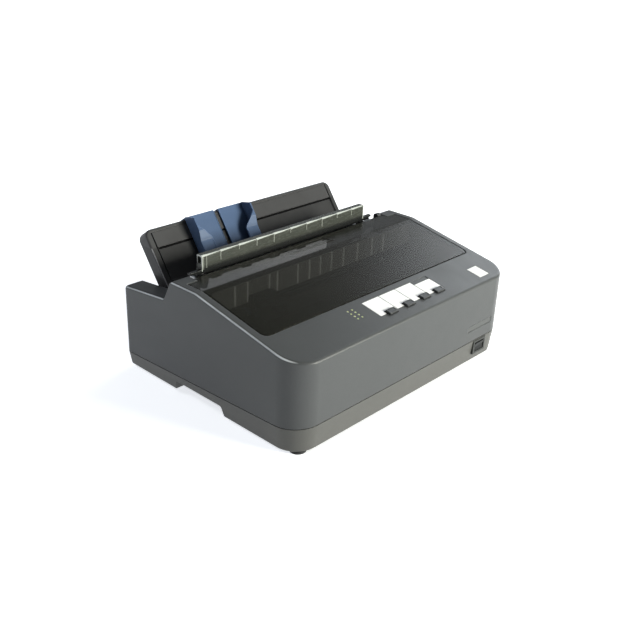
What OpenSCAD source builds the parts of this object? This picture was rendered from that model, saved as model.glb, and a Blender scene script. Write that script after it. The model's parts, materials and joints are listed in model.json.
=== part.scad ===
// Desktop dot matrix printer, narrow carriage, with top cover, paper tension
// bar, tilting paper guide and rear push tractors. Millimetres, +Z up, front
// face towards -Y, standing on z = 0, origin under the middle of the outline.

/* [Case] */
// Width of the case over both side walls
case_w = 362; // [340:1:400]
// Depth of the case from front face to rear wall
case_d = 275; // [275:1:282]
// Wall thickness of both case shells
wall = 2.5; // [2:0.1:3]
// Plan radius of the two front corners
r_front = 30; // [20:1:36]
// Plan radius of the two rear corners
r_rear = 8; // [5:1:12]
// Height of the joint between the shells at the front
split_front = 31.8; // [30:0.1:33]
// Height of the joint between the shells at the rear
split_rear = 20.2; // [19:0.1:21]
// Height of the flat shoulders beside the cover
shoulder_z = 133; // [132:0.5:134]
// Height of the rubber feet
foot_h = 3; // [2:0.5:4]

/* [Cover] */
// Half width of the printer cover
cover_hw = 170.9; // [168:0.1:170.9]
// Thickness of the printer cover
cover_t = 2.4; // [1.8:0.1:2.4]
// Gap round the printer cover
cover_gap = 0.9; // [0.6:0.1:1.2]

/* [Paper guide] */
// Half width of the paper guide
guide_hw = 150; // [140:1:152]
// Length of the paper guide along its slope
guide_len = 64.9; // [55:0.1:70]
// Depth of the paper guide rim
guide_t = 17; // [12:0.5:17]
// Lean of the paper guide above the horizontal
guide_lean = 54; // [50:1:60]

/* [Platen and feed] */
// Radius of the platen rubber
platen_r = 14; // [13:0.5:14]
// Half length of the platen rubber
platen_hw = 130; // [120:1:130]
// Radius of the paper feed knob
knob_r = 15.5; // [12:0.5:17]
// Module of the feed gears
gear_m = 1; // [1:1:1]
// Radius of the tractor sprockets, 8 holes at 12.7 mm
sprocket_r = 16.17; // [16:0.01:16.4]

/* [Carriage] */
// Home position of the carriage along the shaft
carriage_x = -98; // [-98:1:0]
// Radius of the carriage guide shaft
shaft_r = 5; // [4:0.5:5]
// Radius of the belt pulleys
pulley_r = 6.9; // [6:0.1:6.9]

/* [Hidden] */
$fn = 64;

// The outline runs from the front face (0) to the rear of the edge guides.
hook_back = guide_t + 1.9;
gd_y = 234.6; gd_z = 106.3;              // lower front edge of the guide face
y_end = gd_y + (guide_len + 1.9) * cos(guide_lean) + hook_back * sin(guide_lean);
front_out = 1.5;                          // rocker switch ahead of the front face
y_mid = (y_end - front_out) / 2;
hw = case_w / 2;

// Top surface of the case
slope = 0.197;
slope_a = atan(slope);
function top_z(y) = 103.7 + slope * y;
function split_z(y) = split_front + (split_rear - split_front) * y / case_d;

// Axes of the mechanism, as [y, z]
P = [178, 94];                            // platen
tr_ang = -35;
I = P + 24.5 * [cos(tr_ang), sin(tr_ang)];  // idler between platen and tractor
T = P + 52 * [cos(tr_ang), sin(tr_ang)];  // tractor drive shaft
G = T + [24.8, -5.4];                        // tractor guide shaft
rd_ang = -115;
R = P + 26 * [cos(rd_ang), sin(rd_ang)];  // reduction gear
M = R + 30 * [cos(-85), sin(-85)];        // feed motor
C = [140, 70];                            // carriage guide shaft
H = [169, 130.4];                         // cover hinge
U = [192, 117];                           // tension unit pivot
V = [187.5, 124];                         // tension roller
Q = [238, 99];                            // paper guide pivot
L = [205, 88];                            // release lever pivot
W = P + (platen_r + 5.6) * [cos(-110), sin(-110)]; // pressure rollers
belt_y = 118; belt_z = 70; pulley_x = 122;
frame_x = 143.5; frame_t = 2.5;

// ---------- helpers ----------
module placed() translate([0, -y_mid, 0]) children();
module box(x0, x1, y0, y1, z0, z1) translate([x0, y0, z0]) cube([x1 - x0, y1 - y0, z1 - z0]);
module xcyl(r, x0, x1, c) translate([x0, c[0], c[1]]) rotate([0, 90, 0]) cylinder(r = r, h = x1 - x0);
module ycyl(r, y0, y1, x, z) translate([x, y1, z]) rotate([90, 0, 0]) cylinder(r = r, h = y1 - y0);
module zcyl(r, z0, z1, x, y) translate([x, y, z0]) cylinder(r = r, h = z1 - z0);
// a [y, z] profile drawn out along X
module xprism(p, x0, x1) translate([x0, 0, 0]) rotate([90, 0, 90]) linear_extrude(x1 - x0) polygon(p);
// an [x, z] profile drawn out along Y
module yprism(p, y0, y1) translate([0, y1, 0]) rotate([90, 0, 0]) linear_extrude(y1 - y0) polygon(p);
module mirror_x() { children(); mirror([1, 0, 0]) children(); }

function unit(v) = v / norm(v);
function xy(p) = [p[0], p[1]];
// polygon corner [x, y, r] turned into an arc
function corner(p0, p, p1, r, n = 6) = r <= 0 ? [p] : let(
    a = unit(p0 - p), b = unit(p1 - p), g = acos(a * b),
    c = p + unit(a + b) * (r / sin(g / 2)), s = p + a * (r / tan(g / 2)), e = p + b * (r / tan(g / 2)),
    a0 = atan2(s[1] - c[1], s[0] - c[0]), a2 = atan2(e[1] - c[1], e[0] - c[0]),
    d = a2 - a0, a1 = d > 180 ? a2 - 360 : d < -180 ? a2 + 360 : a2)
  [for (i = [0:n]) c + r * [cos(a0 + (a1 - a0) * i / n), sin(a0 + (a1 - a0) * i / n)]];
function rounded(p) = let(n = len(p))
  [for (i = [0:n - 1]) each corner(xy(p[(i + n - 1) % n]), xy(p[i]), xy(p[(i + 1) % n]), p[i][2])];
// counter-clockwise polygon [x, y, r] moved inwards by d
function inset(p, d) = let(n = len(p))
  [for (i = [0:n - 1]) let(
      c = xy(p[i]), e0 = unit(c - xy(p[(i + n - 1) % n])), e1 = unit(xy(p[(i + 1) % n]) - c),
      n0 = [-e0[1], e0[0]], n1 = [-e1[1], e1[0]],
      q = c + d * (n0 + n1) / (1 + n0 * n1), out = e0[0] * e1[1] - e0[1] * e1[0] > 0)
    [q[0], q[1], p[i][2] <= 0 ? 0 : max(0.4, p[i][2] + (out ? -d : d))]];

// spur gear in the YZ plane; a tooth points along angle a
module gear(n, x0, x1, c, a, bore = 0) {
  pr = n * gear_m / 2; ro = pr + 0.8 * gear_m; ri = pr - 1.15 * gear_m; st = 360 / n;
  difference() {
    xprism([for (i = [0:n - 1]) each [
      c + ri * [cos(a + st * (i - 0.30)), sin(a + st * (i - 0.30))],
      c + pr * [cos(a + st * (i - 0.21)), sin(a + st * (i - 0.21))],
      c + ro * [cos(a + st * (i - 0.10)), sin(a + st * (i - 0.10))],
      c + ro * [cos(a + st * (i + 0.10)), sin(a + st * (i + 0.10))],
      c + pr * [cos(a + st * (i + 0.21)), sin(a + st * (i + 0.21))],
      c + ri * [cos(a + st * (i + 0.30)), sin(a + st * (i + 0.30))]]], x0, x1);
    if (bore > 0) xcyl(bore, x0 - 1, x1 + 1, c);
  }
}
// angle of a gap that faces direction d on a gear of n teeth
function gap_at(n, d) = d + 180 / n;

// plan outline of the case, moved inwards by i
module plan(i = 0) {
  w = hw - i; y1 = case_d - i; rf = r_front - i; rr = r_rear - i;
  for (s = [-1, 1]) {
    translate([s * (w - rf), i + rf]) circle(rf, $fn = 96);
    translate([s * (w - rr), y1 - rr]) circle(rr, $fn = 48);
  }
  translate([-w + rf, i]) square([2 * (w - rf), rf + 5]);
  translate([-w, i + rf]) square([2 * w, y1 - rr - i - rf]);
  translate([-w + rr, y1 - rr - 5]) square([2 * (w - rr), rr + 5]);
}
function side_profile(zb0, zb1) = [[0, zb0, 0], [case_d, zb1, 0],
  [case_d, 101.4, 6], [200.5, 109.3, 4], [188.5, shoulder_z, 5],
  [(shoulder_z - 103.7) / slope - 1, shoulder_z, 26], [0, top_z(0), 5]];

// frame of the sloping control panel: children sit with +Z along its normal
module on_slope(x, y) translate([x, y, top_z(y)]) rotate([slope_a, 0, 0]) children();
// frame of the paper guide: x across, y up along the face, z out of the face
module on_guide() translate([0, gd_y, gd_z]) rotate([guide_lean, 0, 0]) children();
g_piv = [ (Q[0]-gd_y)*cos(guide_lean) + (Q[1]-gd_z)*sin(guide_lean),
         -(Q[0]-gd_y)*sin(guide_lean) + (Q[1]-gd_z)*cos(guide_lean)];

button_x = [-21.5, 8.1, 36.2, 62];
button_y = 18.6;
led_pos = [for (r = [0:3]) each [[-64.3, 42.8 - 4.8 * r], [-57.6, 42.8 - 4.8 * r]]];

// ---------- case ----------
screw_at = [[-165, 40], [165, 40], [-165, 232], [165, 232]];
foot_at = [[-161.5, 16], [161.5, 16], [-160, 250], [160, 250]];
post_at = [[-134, 102], [134, 102], [-134, 228], [134, 228]];

// ring between two insets of the plan, from z0 to z1 above the joint
module joint_ring(i0, i1, z0, z1) intersection() {
  linear_extrude(80) difference() { plan(i0); plan(i1); }
  xprism([[-1, split_z(-1) + z0], [case_d + 1, split_z(case_d + 1) + z0], [case_d + 1, split_z(case_d + 1) + z1], [-1, split_z(-1) + z1]], -hw - 1, hw + 1);
}
module lower_case() color("#6d6f6c") placed() difference() {
  union() {
    difference() {
      translate([0, 0, foot_h]) linear_extrude(60) plan();
      translate([0, 0, foot_h + wall]) linear_extrude(60) plan(wall);
      // everything above the joint
      xprism([[-1, split_z(0) - 0.3], [case_d + 1, split_z(case_d) - 0.3], [case_d + 1, 90], [-1, 90]], -hw - 1, hw + 1);
    }
    // locating lip inside the joint
    joint_ring(wall - 0.01, wall + 1.4, -4, -0.3);
    joint_ring(wall + 0.15, wall + 1.4, -0.31, 2.5);
    // hand grip housings
    mirror_x() box(156, hw - 1, 104.5, 191.5, foot_h, 18.2);
    // screw bosses, chassis posts, board posts
    for (p = screw_at) zcyl(5, foot_h, split_z(p[1]) - 2, p[0], p[1]);
    for (p = post_at) zcyl(6, foot_h, 20, p[0], p[1]);
    for (x = [-52, 142], y = [18, 80]) zcyl(3.5, foot_h, 12, x, y);
    for (x = [-142, -78], y = [18, 80]) zcyl(3.5, foot_h, 12, x, y);
    // floor ribs
    for (x = [-100, 0, 100]) box(x - 1, x + 1, 90, 94, foot_h, 14);
  }
  // hand grips, open to the side and below
  mirror_x() box(158.5, hw + 1, 107, 189, 0, 15.7);
  // screw holes, counterbored from below
  for (p = screw_at) {
    zcyl(1.7, 0, 40, p[0], p[1]);
    zcyl(3.6, 0, foot_h + 4, p[0], p[1]);
  }
  for (p = post_at) zcyl(1.3, 10, 21, p[0], p[1]);
  // foot sockets
  for (p = foot_at) zcyl(7.1, 0, foot_h + 1, p[0], p[1]);
  // power switch opening in the front wall
  box(119.6, 141.4, -1, wall + 2, 14.6, 28.9);
  // floor slots for air
  for (i = [0:8]) box(-60 + 15 * i - 3, -60 + 15 * i + 3, 200, 240, 0, 8);
}

module upper_case() color("#585b63") placed() difference() {
  union() {
    difference() {
      intersection() {
        linear_extrude(200) plan();
        xprism(rounded(side_profile(split_z(0) + 0.3, split_z(case_d) + 0.3)), -hw - 1, hw + 1);
      }
      intersection() {
        translate([0, 0, -30]) linear_extrude(230) plan(wall);
        xprism(rounded(inset(side_profile(-20, -20), wall)), -hw - 1, hw + 1);
      }
      // opening for the cover and the mechanism
      translate([0, 0, 90]) linear_extrude(100) cover_plan(cover_gap);
      box(-157.3, 157.3, 172, case_d + 1, 60, 200);
    }
    // inner walls of the two rear arms
    mirror_x() intersection() {
      box(157.3, 159.8, 184, case_d - 1, 40, 150);
      xprism(rounded(side_profile(20, 20)), 150, 170);
    }
    // shelf below the edge of the cover
    intersection() {
      translate([0, 0, 80]) linear_extrude(60) difference() { cover_plan(cover_gap + 1); cover_plan(-5); }
      xprism([[50, top_z(50) - 4.9], [144, top_z(144) - 4.9], [144, top_z(144) - 2.9], [50, top_z(50) - 2.9]], -hw + wall, hw - wall);

    }
    // hinge bosses of the cover
    mirror_x() box(cover_hw + cover_gap, 176, 164.5, 173.5, 124, shoulder_z - 0.5);
    // pocket round the feed knob
    xcyl(26, 161, hw - 1, P);
    // pillars of the panel board
    for (x = [-72, 76], y = [12, 44]) on_slope(0, 0) translate([x, y, -8]) cylinder(r = 2.6, h = 6.4, $fn = 32);
    // screw pillars
    for (p = screw_at) zcyl(4.5, split_z(p[1]) - 1.7, p[1] > 100 ? 104 : top_z(p[1]) - 1, p[0], p[1]);
  }
  // knob pocket and shaft hole
  xcyl(24, 163, hw + 1, P);
  xcyl(5, 150, 170, P);
  // cover pin holes
  mirror_x() xcyl(1.68, 170, 174.6, H);
  // paper guide pivot holes
  mirror_x() xcyl(3.06, 156, 161, Q);
  // screw holes
  for (p = screw_at) zcyl(1.3, split_z(p[1]) - 3, split_z(p[1]) + 14, p[0], p[1]);
  // buttons, lights, label and badge recesses
  for (x = button_x) on_slope(x, button_y) translate([-7.4, -4.4, -6]) cube([14.8, 8.8, 12]);
  for (p = led_pos) on_slope(p[0], p[1]) translate([0, 0, -6]) cylinder(r = 1.3, h = 12, $fn = 24);
  on_slope(0, 0) translate([-39, 18.8, -0.5]) cube([111.6, 28.4, 4]);
  on_slope(132, 9.8) translate([0, 0, -0.25]) cube([18.5, 20.2, 3]);
  box(102.6, 151.4, -1, 0.7, 45.9, 53.4);
  // openings in the rear wall
  box(-143.7, -116.3, case_d - 4, case_d + 1, 24.3, 43.7);
  box(20.3, 85.7, case_d - 4, case_d + 1, 27.3, 40.7);
  box(96.3, 127.7, case_d - 4, case_d + 1, 28.3, 39.7);
  box(137.3, 149.7, case_d - 4, case_d + 1, 27.3, 38.7);
}
// outline of the cover, grown by g
module cover_plan(g = 0) {
  w = cover_hw + g; y0 = 54.8 - g; y1 = 169.5 + (g > 0 ? g + 1.6 : g); r = 8 + g;
  for (s = [-1, 1]) translate([s * (w - r), y0 + r]) circle(r, $fn = 48);
  translate([-w + r, y0]) square([2 * (w - r), r + 2]);
  translate([-w, y0 + r]) square([2 * w, y1 - y0 - r]);
}

module rubber_feet() color("#1c1c1e") placed() for (p = foot_at) {
  zcyl(9, 0, foot_h - 0.05, p[0], p[1]);
  zcyl(7, foot_h - 0.06, foot_h + 0.9, p[0], p[1]);
}
module assembly_screws() color("#b9bcc0") placed() {
  for (p = post_at) difference() {
    union() { zcyl(3, 22, 24, p[0], p[1]); zcyl(1.2, 12, 22.1, p[0], p[1]); }
    translate([p[0], p[1], 23]) { translate([-2, -0.4, 0]) cube([4, 0.8, 2]); translate([-0.4, -2, 0]) cube([0.8, 4, 2]); }
  }
  for (p = screw_at) difference() {
  union() {
    zcyl(3.3, foot_h + 1.5, foot_h + 3.9, p[0], p[1]);
    zcyl(1.2, foot_h + 3.8, split_z(p[1]) + 12, p[0], p[1]);
  }
  translate([p[0], p[1], foot_h + 1]) { translate([-2.2, -0.5, 0]) cube([4.4, 1, 1.8]); translate([-0.5, -2.2, 0]) cube([1, 4.4, 1.8]); }
  }
}

// ---------- control panel ----------
module panel_label() color("#f4f4f2") placed() {
  cols = [[-38.5, -11.2, 46.2], [-10.8, 16.7, 46.2], [17.1, 44.2, 46.2], [44.6, 72, 40.4]];
  for (i = [0:3]) on_slope(0, 0) difference() {
    translate([cols[i][0], 19.3, -0.45]) cube([cols[i][1] - cols[i][0], cols[i][2] - 18.8, 0.5]);
    for (x = button_x) translate([x - 7.6, -10, -1]) cube([15.2, button_y / cos(slope_a) + 14.8, 3]);
  }
}
module status_lights() color("#b9c46a") placed() for (p = led_pos) on_slope(p[0], p[1]) {
  translate([0, 0, -6.2]) cylinder(r = 1.15, h = 6.5, $fn = 24);
}
module name_badge() color("#8b8e8c") placed() box(103, 151, 0.15, 0.65, 46.3, 53);
module info_sticker() color("#ededed") placed() on_slope(132, 9.8) translate([0.4, 0.4, -0.2]) cube([17.7, 19.4, 0.3]);

module button(x) color("#3c3e40") placed() on_slope(x, button_y) {
  translate([-7, -4, -5.2]) cube([14, 8, 7.4]);
  translate([-8.2, -5, -4.1]) cube([16.4, 10, 1]);
}
module pause_button() button(button_x[0]);
module tear_off_button() button(button_x[1]);
module line_feed_button() button(button_x[2]);
module font_button() button(button_x[3]);

module panel_board() color("#2f6b4a") placed() on_slope(0, 0) {
  difference() {
    translate([-76, 8, -9.6]) cube([156, 40, 1.6]);
    for (x = [-72, 76], y = [12, 44]) translate([x, y, -12]) cylinder(r = 1.6, h = 6, $fn = 24);
  }
  for (x = button_x) translate([x, button_y / cos(slope_a), -8.01]) {
    translate([-3, -3, 0]) cube([6, 6, 1]);
    cylinder(r = 1.6, h = 1.5, $fn = 24);
  }
}

// rocker switch in the front wall of the lower shell
switch_axis = [3, 21.8]; switch_tilt = 6;
module power_switch_body() color("#161617") placed() {
  difference() {
    union() {
      box(118, 143, -0.8, -0.05, 12.8, 30.6);
      box(119.8, 141.2, -0.1, 16, 14.8, 28.7);
      for (x = [124, 130.5, 137]) box(x - 0.4, x + 0.4, 15.9, 23, 18, 24);
    }
    box(121, 140, -2, 12, 15.8, 27.8);
  }
  xcyl(0.95, 120.5, 140.5, switch_axis);
}
module power_rocker() color("#242426") placed() translate([0, switch_axis[0], switch_axis[1]]) rotate([switch_tilt, 0, 0]) difference() {
  xprism(rounded([[3.5, -4.4, 0.5], [3.5, 4.4, 0.5], [-4, 5.4, 0.4], [-2.9, 0, 8], [-4, -5.4, 0.4]]), 121.7, 139.3);
  xcyl(1.0, 121, 140, [0, 0]);
}

// ---------- cover ----------
module printer_cover() color("#3b3c34", 0.8) placed() difference() {
  union() {
    intersection() {
      xprism(cover_band(0, cover_t), -cover_hw - 1, cover_hw + 1);
      union() {
        translate([0, 0, 80]) linear_extrude(80) cover_plan(0);
        box(-156.3, 156.3, 160, 179, 100, 160);
      }
    }
    // hinge ears and pins
    mirror_x() difference() {
      xcyl(2.5, cover_hw - 3, cover_hw, H);
      box(160, 175, 160, 180, shoulder_z, 140);
    }
    mirror_x() xcyl(1.6, cover_hw - 1, 174.3, H);
    // stiffening ribs below the bend
    for (i = [0:15]) xprism([[116, top_z(116) - 3.2], [143, top_z(143) - 8], [146, top_z(143) - 8], [146, top_z(143) - 1], [116, top_z(116) - 1]], -150 + 20 * i - 0.5, -150 + 20 * i + 0.5);
    // raised finger tab
    xprism([[158, shoulder_z - 1], [175, shoulder_z - 1], [175, shoulder_z + 0.8], [158, shoulder_z + 0.8]], -32, 42);
  }
  // rounded rear edge over the hinge
  mirror_x() difference() {
    box(156.5, 172, 167.9, 171, 130, 134);
    xcyl(2.62, 156, 173, H);
    box(156, 173, 160, 169, 128, 140);
  }
}
function cover_band(a, b) = [[40, top_z(40) - a], [(shoulder_z - 103.7) / slope, shoulder_z - a], [190, shoulder_z - a],
  [190, shoulder_z - b], [(shoulder_z - 103.7) / slope + 0.1 * b, shoulder_z - b], [40, top_z(40) - b * 1.02]];

// ---------- paper tension bar ----------
module tension_unit() color("#5f655c", 0.85) placed() difference() {
  union() {
    box(-136, 130, 190, 191.6, 128, 149.3);
    box(-136, 130, 190, 198.4, 147.7, 149.3);
    box(-136, 130, 196.8, 198.4, 134, 149.3);
    for (i = [0:8]) box(-109 + 27 * i - 0.6, -109 + 27 * i + 0.6, 190.5, 198, 130, 149);
    // wings over the slot beside the bar
    box(-142.5, -135, 190.5, 195, 128, 133);
    box(-152, -142, 190.5, 195, 130.4, 133);
    box(129, 142.5, 190.5, 195, 128, 133);
    box(142, 146, 190.5, 195, 130.4, 133);
    // end arms down to the pivots
    for (x = [-136, 126]) xprism(rounded([[184, 119, 2], [187, 111.5, 3], [197, 111.5, 4], [198.4, 120, 2], [198.4, 139.5, 1], [190.5, 139.5, 0], [190.5, 128.5, 1], [184, 128.5, 2]]), x, x + 4);
    xcyl(2.5, -145.6, -135, U);
    xcyl(2.5, 129, 145.6, U);
  }
  for (x = [-137, 125]) xcyl(1.56, x, x + 6, V);
}
module tension_roller() color("#2b2c2d") placed() {
  xcyl(1.5, -136, 130, V);
  for (i = [0:5]) xcyl(3.2, -118 + 44 * i - 6, -118 + 44 * i + 6, V);
}

// ---------- paper guide ----------
module paper_guide() color("#4f5052") placed() on_guide() difference() {
  union() {
    difference() {
      guide_plate(-guide_t, 0, 0);
      guide_plate(-guide_t - 1, -2.6, 2.2);
      // sunk panel with a step across it
      translate([-guide_hw + 9, 3, -0.9]) cube([2 * guide_hw - 18, 38, 2]);
    }
    // ribs behind the face
    for (i = [0:6]) translate([-120 + 40 * i - 0.8, -3, -12]) cube([1.6, guide_len + 1, 11]);
    translate([-guide_hw + 1, 30, -10]) cube([2 * guide_hw - 2, 1.6, 9]);
    // cheeks and pivot pins
    for (s = [-1, 1]) translate([s > 0 ? 145 : -150, g_piv[0], g_piv[1]]) rotate([0, 90, 0]) cylinder(r = 5.5, h = 5);
    for (s = [-1, 1]) translate([s > 0 ? 149.5 : -159.4, g_piv[0], g_piv[1]]) rotate([0, 90, 0]) cylinder(r = 3, h = 9.9);
  }
}
module guide_plate(z0, z1, i) translate([0, 0, z0]) linear_extrude(z1 - z0) {
  w = guide_hw - i; y0 = -4 + i; y1 = guide_len - i; r = 9 - i;
  for (s = [-1, 1]) translate([s * (w - r), y1 - r]) circle(r, $fn = 48);
  translate([-w + r, y0]) square([2 * (w - r), y1 - y0]);
  translate([-w, y0]) square([2 * w, y1 - r - y0]);
}
// edge guide: plate x0..x1 with a fence on side s and a curved lip folded inwards over the paper edge
module edge_guide(x0, x1, s) placed() on_guide() {
  translate([x0, 6, 0.3]) cube([x1 - x0, guide_len - 5.7 + 1.5, 1.6]);
  translate([x0, guide_len + 0.3, -guide_t - 1.5]) cube([x1 - x0, 1.6, guide_t + 3.4]);
  translate([x0 + 4, guide_len - 8, -guide_t - 1.9]) cube([x1 - x0 - 8, 9.9, 1.6]);
  translate([s < 0 ? x0 : x1 - 1.8, 0, 0]) rotate([90, 0, 90]) linear_extrude(1.8)
    polygon([[6, 0.3], [guide_len + 1.9, 0.3], [guide_len + 1.9, 2.4], [60.4, 16.8], [44, 16.8], [33, 12.4], [6, 12.4]]);
  translate([s < 0 ? x0 : x1, 0, 0]) intersection() {
    linear_extrude(20) guide_lip(s);
    // the lip steps down towards the lower end
    translate([-30, 0, 0]) rotate([90, 0, 90]) linear_extrude(60)
      polygon([[0, 10.8], [33.3, 10.8], [44.3, 15.2], [70, 15.2], [70, 16.8], [44, 16.8], [33, 12.4], [0, 12.4]]);
  }
}
module guide_lip(s) {
  translate([s < 0 ? 0 : -18, 6]) square([18, 24.5]);
  translate([-s * 10, 30.5]) circle(8, $fn = 48);
  polygon([[0, 52], [-s * 15.66, 36.1], [-s * 10, 30.5], [0, 30.5]]);
}
module edge_guide_left() color("#6f8bb0") edge_guide(-92.2, -49.5, -1);
module edge_guide_right() color("#6f8bb0") edge_guide(-43, -3.9, 1);

// ---------- frame of the mechanism ----------
module chassis() color("#9a9da0") placed() difference() {
  union() {
    box(-frame_x, frame_x, 96, 246, 20, 22);
    box(-frame_x, frame_x, 96, 98, 21, 60);
    box(-frame_x, frame_x, 97, 104, 58.2, 60);
    // flanges that take the side frames
    mirror_x() for (y = [[106, 146], [192, 240]]) box(frame_x - 2, frame_x, y[0], y[1], 21, 34);
    // idler post with its pin
    zcyl(5, 21, 64.4, pulley_x, belt_y);
    zcyl(2.4, 60, 75.4, pulley_x, belt_y);
  }
  for (p = post_at) zcyl(1.7, 18, 24, p[0], p[1]);
  for (x = [-60, 0, 60]) box(x - 12, x + 12, 150, 182, 18, 24);
}
module side_frame(s) {
  x0 = s > 0 ? frame_x : -frame_x - frame_t; x1 = x0 + frame_t;
  difference() {
    xprism(rounded([[100, 23, 3], [250, 23, 3], [250, 50, 3], [254, 54, 3], [254, 67, 5], [T[0] + 8, 79, 6], [213, 94, 4], [203, 97, 4], [199.5, 127, 4], [184.5, 127, 4], [184, 112, 3],
      [160, 110, 4], [128, 84, 6], [100, 80, 5]]), x0, x1);
    xcyl(4.06, x0 - 1, x1 + 1, P);
    xcyl(2.56, x0 - 1, x1 + 1, U);
    xcyl(3.06, x0 - 1, x1 + 1, T);
    xcyl(3.02, x0 - 1, x1 + 1, G);
    xcyl(shaft_r + 0.02, x0 - 1, x1 + 1, C);
    xcyl(1.56, x0 - 1, x1 + 1, W);
    if (s > 0) xcyl(3.02, x0 - 1, x1 + 1, L);
    if (s < 0) { xcyl(2.02, x0 - 1, x1 + 1, R); xcyl(2.02, x0 - 1, x1 + 1, I); xcyl(5, x0 - 1, x1 + 1, M); }
    xprism(rounded([[112, 36, 4], [145, 36, 4], [145, 56, 4], [112, 56, 4]]), x0 - 1, x1 + 1);
  }
  // studs that carry the gears and the lever
  if (s > 0) { xcyl(3, x0, x1 + 6.5, L); }
  if (s < 0) { xcyl(2, x0 - 12.6, x1, R); xcyl(2, x0 - 7, x1, I); }
}
module side_frame_left() color("#a7a9ab") placed() side_frame(-1);
module side_frame_right() color("#a7a9ab") placed() side_frame(1);

// ---------- platen and gear train ----------
module platen_roller() color("#232323") placed() difference() {
  xcyl(platen_r, -platen_hw, platen_hw, P);
  xcyl(4, -platen_hw - 1, platen_hw + 1, P);
}
module platen_shaft() color("#c4c6c8") placed() difference() {
  xcyl(4, -152.5, 178, P);
}
module platen_knob() color("#3a3c3e") placed() difference() {
  union() {
    xcyl(knob_r, 166, hw - 0.6, P);
  }
  xcyl(4, 165, 178.0, P);
  for (i = [0:17]) xcyl(1.2, 165, hw + 1, P + (knob_r + 0.5) * [cos(i * 20), sin(i * 20)]);
}
module platen_gear() color("#e6e3d8") placed() gear(36, -152, -147, P, tr_ang, 4);
module reduction_gear() color("#e6e3d8") placed() union() {
  gear(16, -152.3, -147, R, gap_at(16, rd_ang + 180), 2.06);
  gear(48, -156.6, -152.8, R, -85, 2.06);
  difference() { xcyl(7, -153.2, -152, R); xcyl(2.06, -154, -151, R); }
}
module tractor_idler_gear() color("#e6e3d8") placed() gear(13, -152, -147, I, gap_at(13, tr_ang + 180), 2.06);
module feed_motor() color("#2a2b2d") placed() difference() {
  union() {
    xcyl(18, -frame_x, -110, M);
    xcyl(4.6, -frame_x - 1.6, -frame_x + 1, M);
  }
  xcyl(2.6, -150, -112, M);
}
module feed_motor_pinion() color("#c9a24a") placed() union() {
  gear(12, -156.6, -152.8, M, gap_at(12, 95), 0);
  xcyl(2.5, -154, -115, M);
}
module pressure_rollers() color("#2b2b2b") placed() {
  xcyl(1.5, -145, 145, W);
  for (x = [-90, -30, 30, 90]) xcyl(5.5, x - 10, x + 10, W);
}
module paper_pan() color("#3a3b3d") placed() difference() {
  union() {
    // trough round the underside of the platen
    xprism(concat([for (a = [-150:6:-48]) P + 17.4 * [cos(a), sin(a)]], [for (a = [-48:-6:-150]) P + 16.2 * [cos(a), sin(a)]]), -139, 139);
    // apron, drop behind it, tray below the tractors and rear ramp
    xprism([P + 16.2 * [cos(-49), sin(-49)], P + 17.4 * [cos(-49), sin(-49)], [197.2, 75.4], [197.2, 42.5], [199.2, 40.5], [240, 40.5], [271.5, 58.7], [271.5, 60.9], [239.5, 42.5], [199.2, 42.5],
      [199.2, 76.4], [197.2, 78.4]], -139, 139);
    for (i = [0:12]) box(-120 + 20 * i - 0.6, -120 + 20 * i + 0.6, 194.6, 200, 70, 79.6);
  }
  for (x = [-90, -30, 30, 90]) box(x - 11, x + 11, W[0] - 7, W[0] + 7, W[1] - 8, W[1] + 8);
}

// ---------- levers ----------
module release_lever() color("#26272a") placed() difference() {
  union() {
    xprism(rounded([[199, 84, 5], [211, 82, 5], [211, 92, 5], [192, 126, 2], [182, 132, 2], [181.5, 126, 3]]), 147, 150);
    xprism(rounded([[181.5, 123, 2], [189, 123, 2], [189, 134.5, 3], [181.5, 134.5, 3]]), 149.5, 156);
  }
  xcyl(3.06, 145, 152, L);
}
module thickness_lever() color("#7fa3c4") placed() difference() {
  union() {
    xcyl(9, -141.5, -138.5, C);
    xprism(rounded([[133, 72, 1], [141, 76, 1], [121, 113, 2], [114, 110, 2]]), -141.5, -138.5);
    xprism(rounded([[113, 106, 2], [122, 106, 2], [122, 113, 2], [113, 113, 2]]), -141.5, -135.5);
  }
  xcyl(shaft_r + 0.06, -142, -138, C);
}

// ---------- carriage ----------
module carriage() color("#2e3033") placed() translate([carriage_x, 0, 0]) difference() {
  union() {
    box(-25, 25, 129.5, 153, 60.5, 80);
    box(-20, 20, 124, 153, 79, 83.5);
    box(-12, 12, 98.5, 131, 60.2, 64.6);
    box(-9, 9, 123.2, 131, 64, 75);
  }
  xcyl(shaft_r + 0.06, -30, 30, C);
  // slot for the belt
  box(-10, 10, belt_y + pulley_r - 0.1, belt_y + pulley_r + 1.5, 66.4, 80);
}
module print_head() color("#46494c") placed() translate([carriage_x, 0, 0]) {
  box(-15, 15, 126, 148, 83.5, 110);
  for (i = [0:4]) box(-17, 17, 127 + 4 * i, 129 + 4 * i, 90, 113);
  yprism([[-10, 86], [10, 86], [10, 104], [-10, 104]], 147.9, 153);
  yprism([[-5, 88], [5, 88], [5, 101], [-5, 101]], 152.9, 161.9);
}
module guide_shaft() color("#d3d5d7") placed() xcyl(shaft_r, -frame_x - frame_t, frame_x + frame_t, C);
module carriage_motor() color("#2a2b2d") placed() difference() {
  union() {
    zcyl(16.2, 22, 56, -pulley_x, belt_y);
    zcyl(6, 55, 58, -pulley_x, belt_y);
  }
  zcyl(2.6, 30, 60, -pulley_x, belt_y);
}
module drive_pulley() color("#c9a24a") placed() {
  zcyl(2.5, 31, 76, -pulley_x, belt_y);
  zcyl(pulley_r, 65, 75.4, -pulley_x, belt_y);
  zcyl(8.6, 65, 66.2, -pulley_x, belt_y);
  zcyl(8.6, 74.2, 75.4, -pulley_x, belt_y);
}
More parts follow.
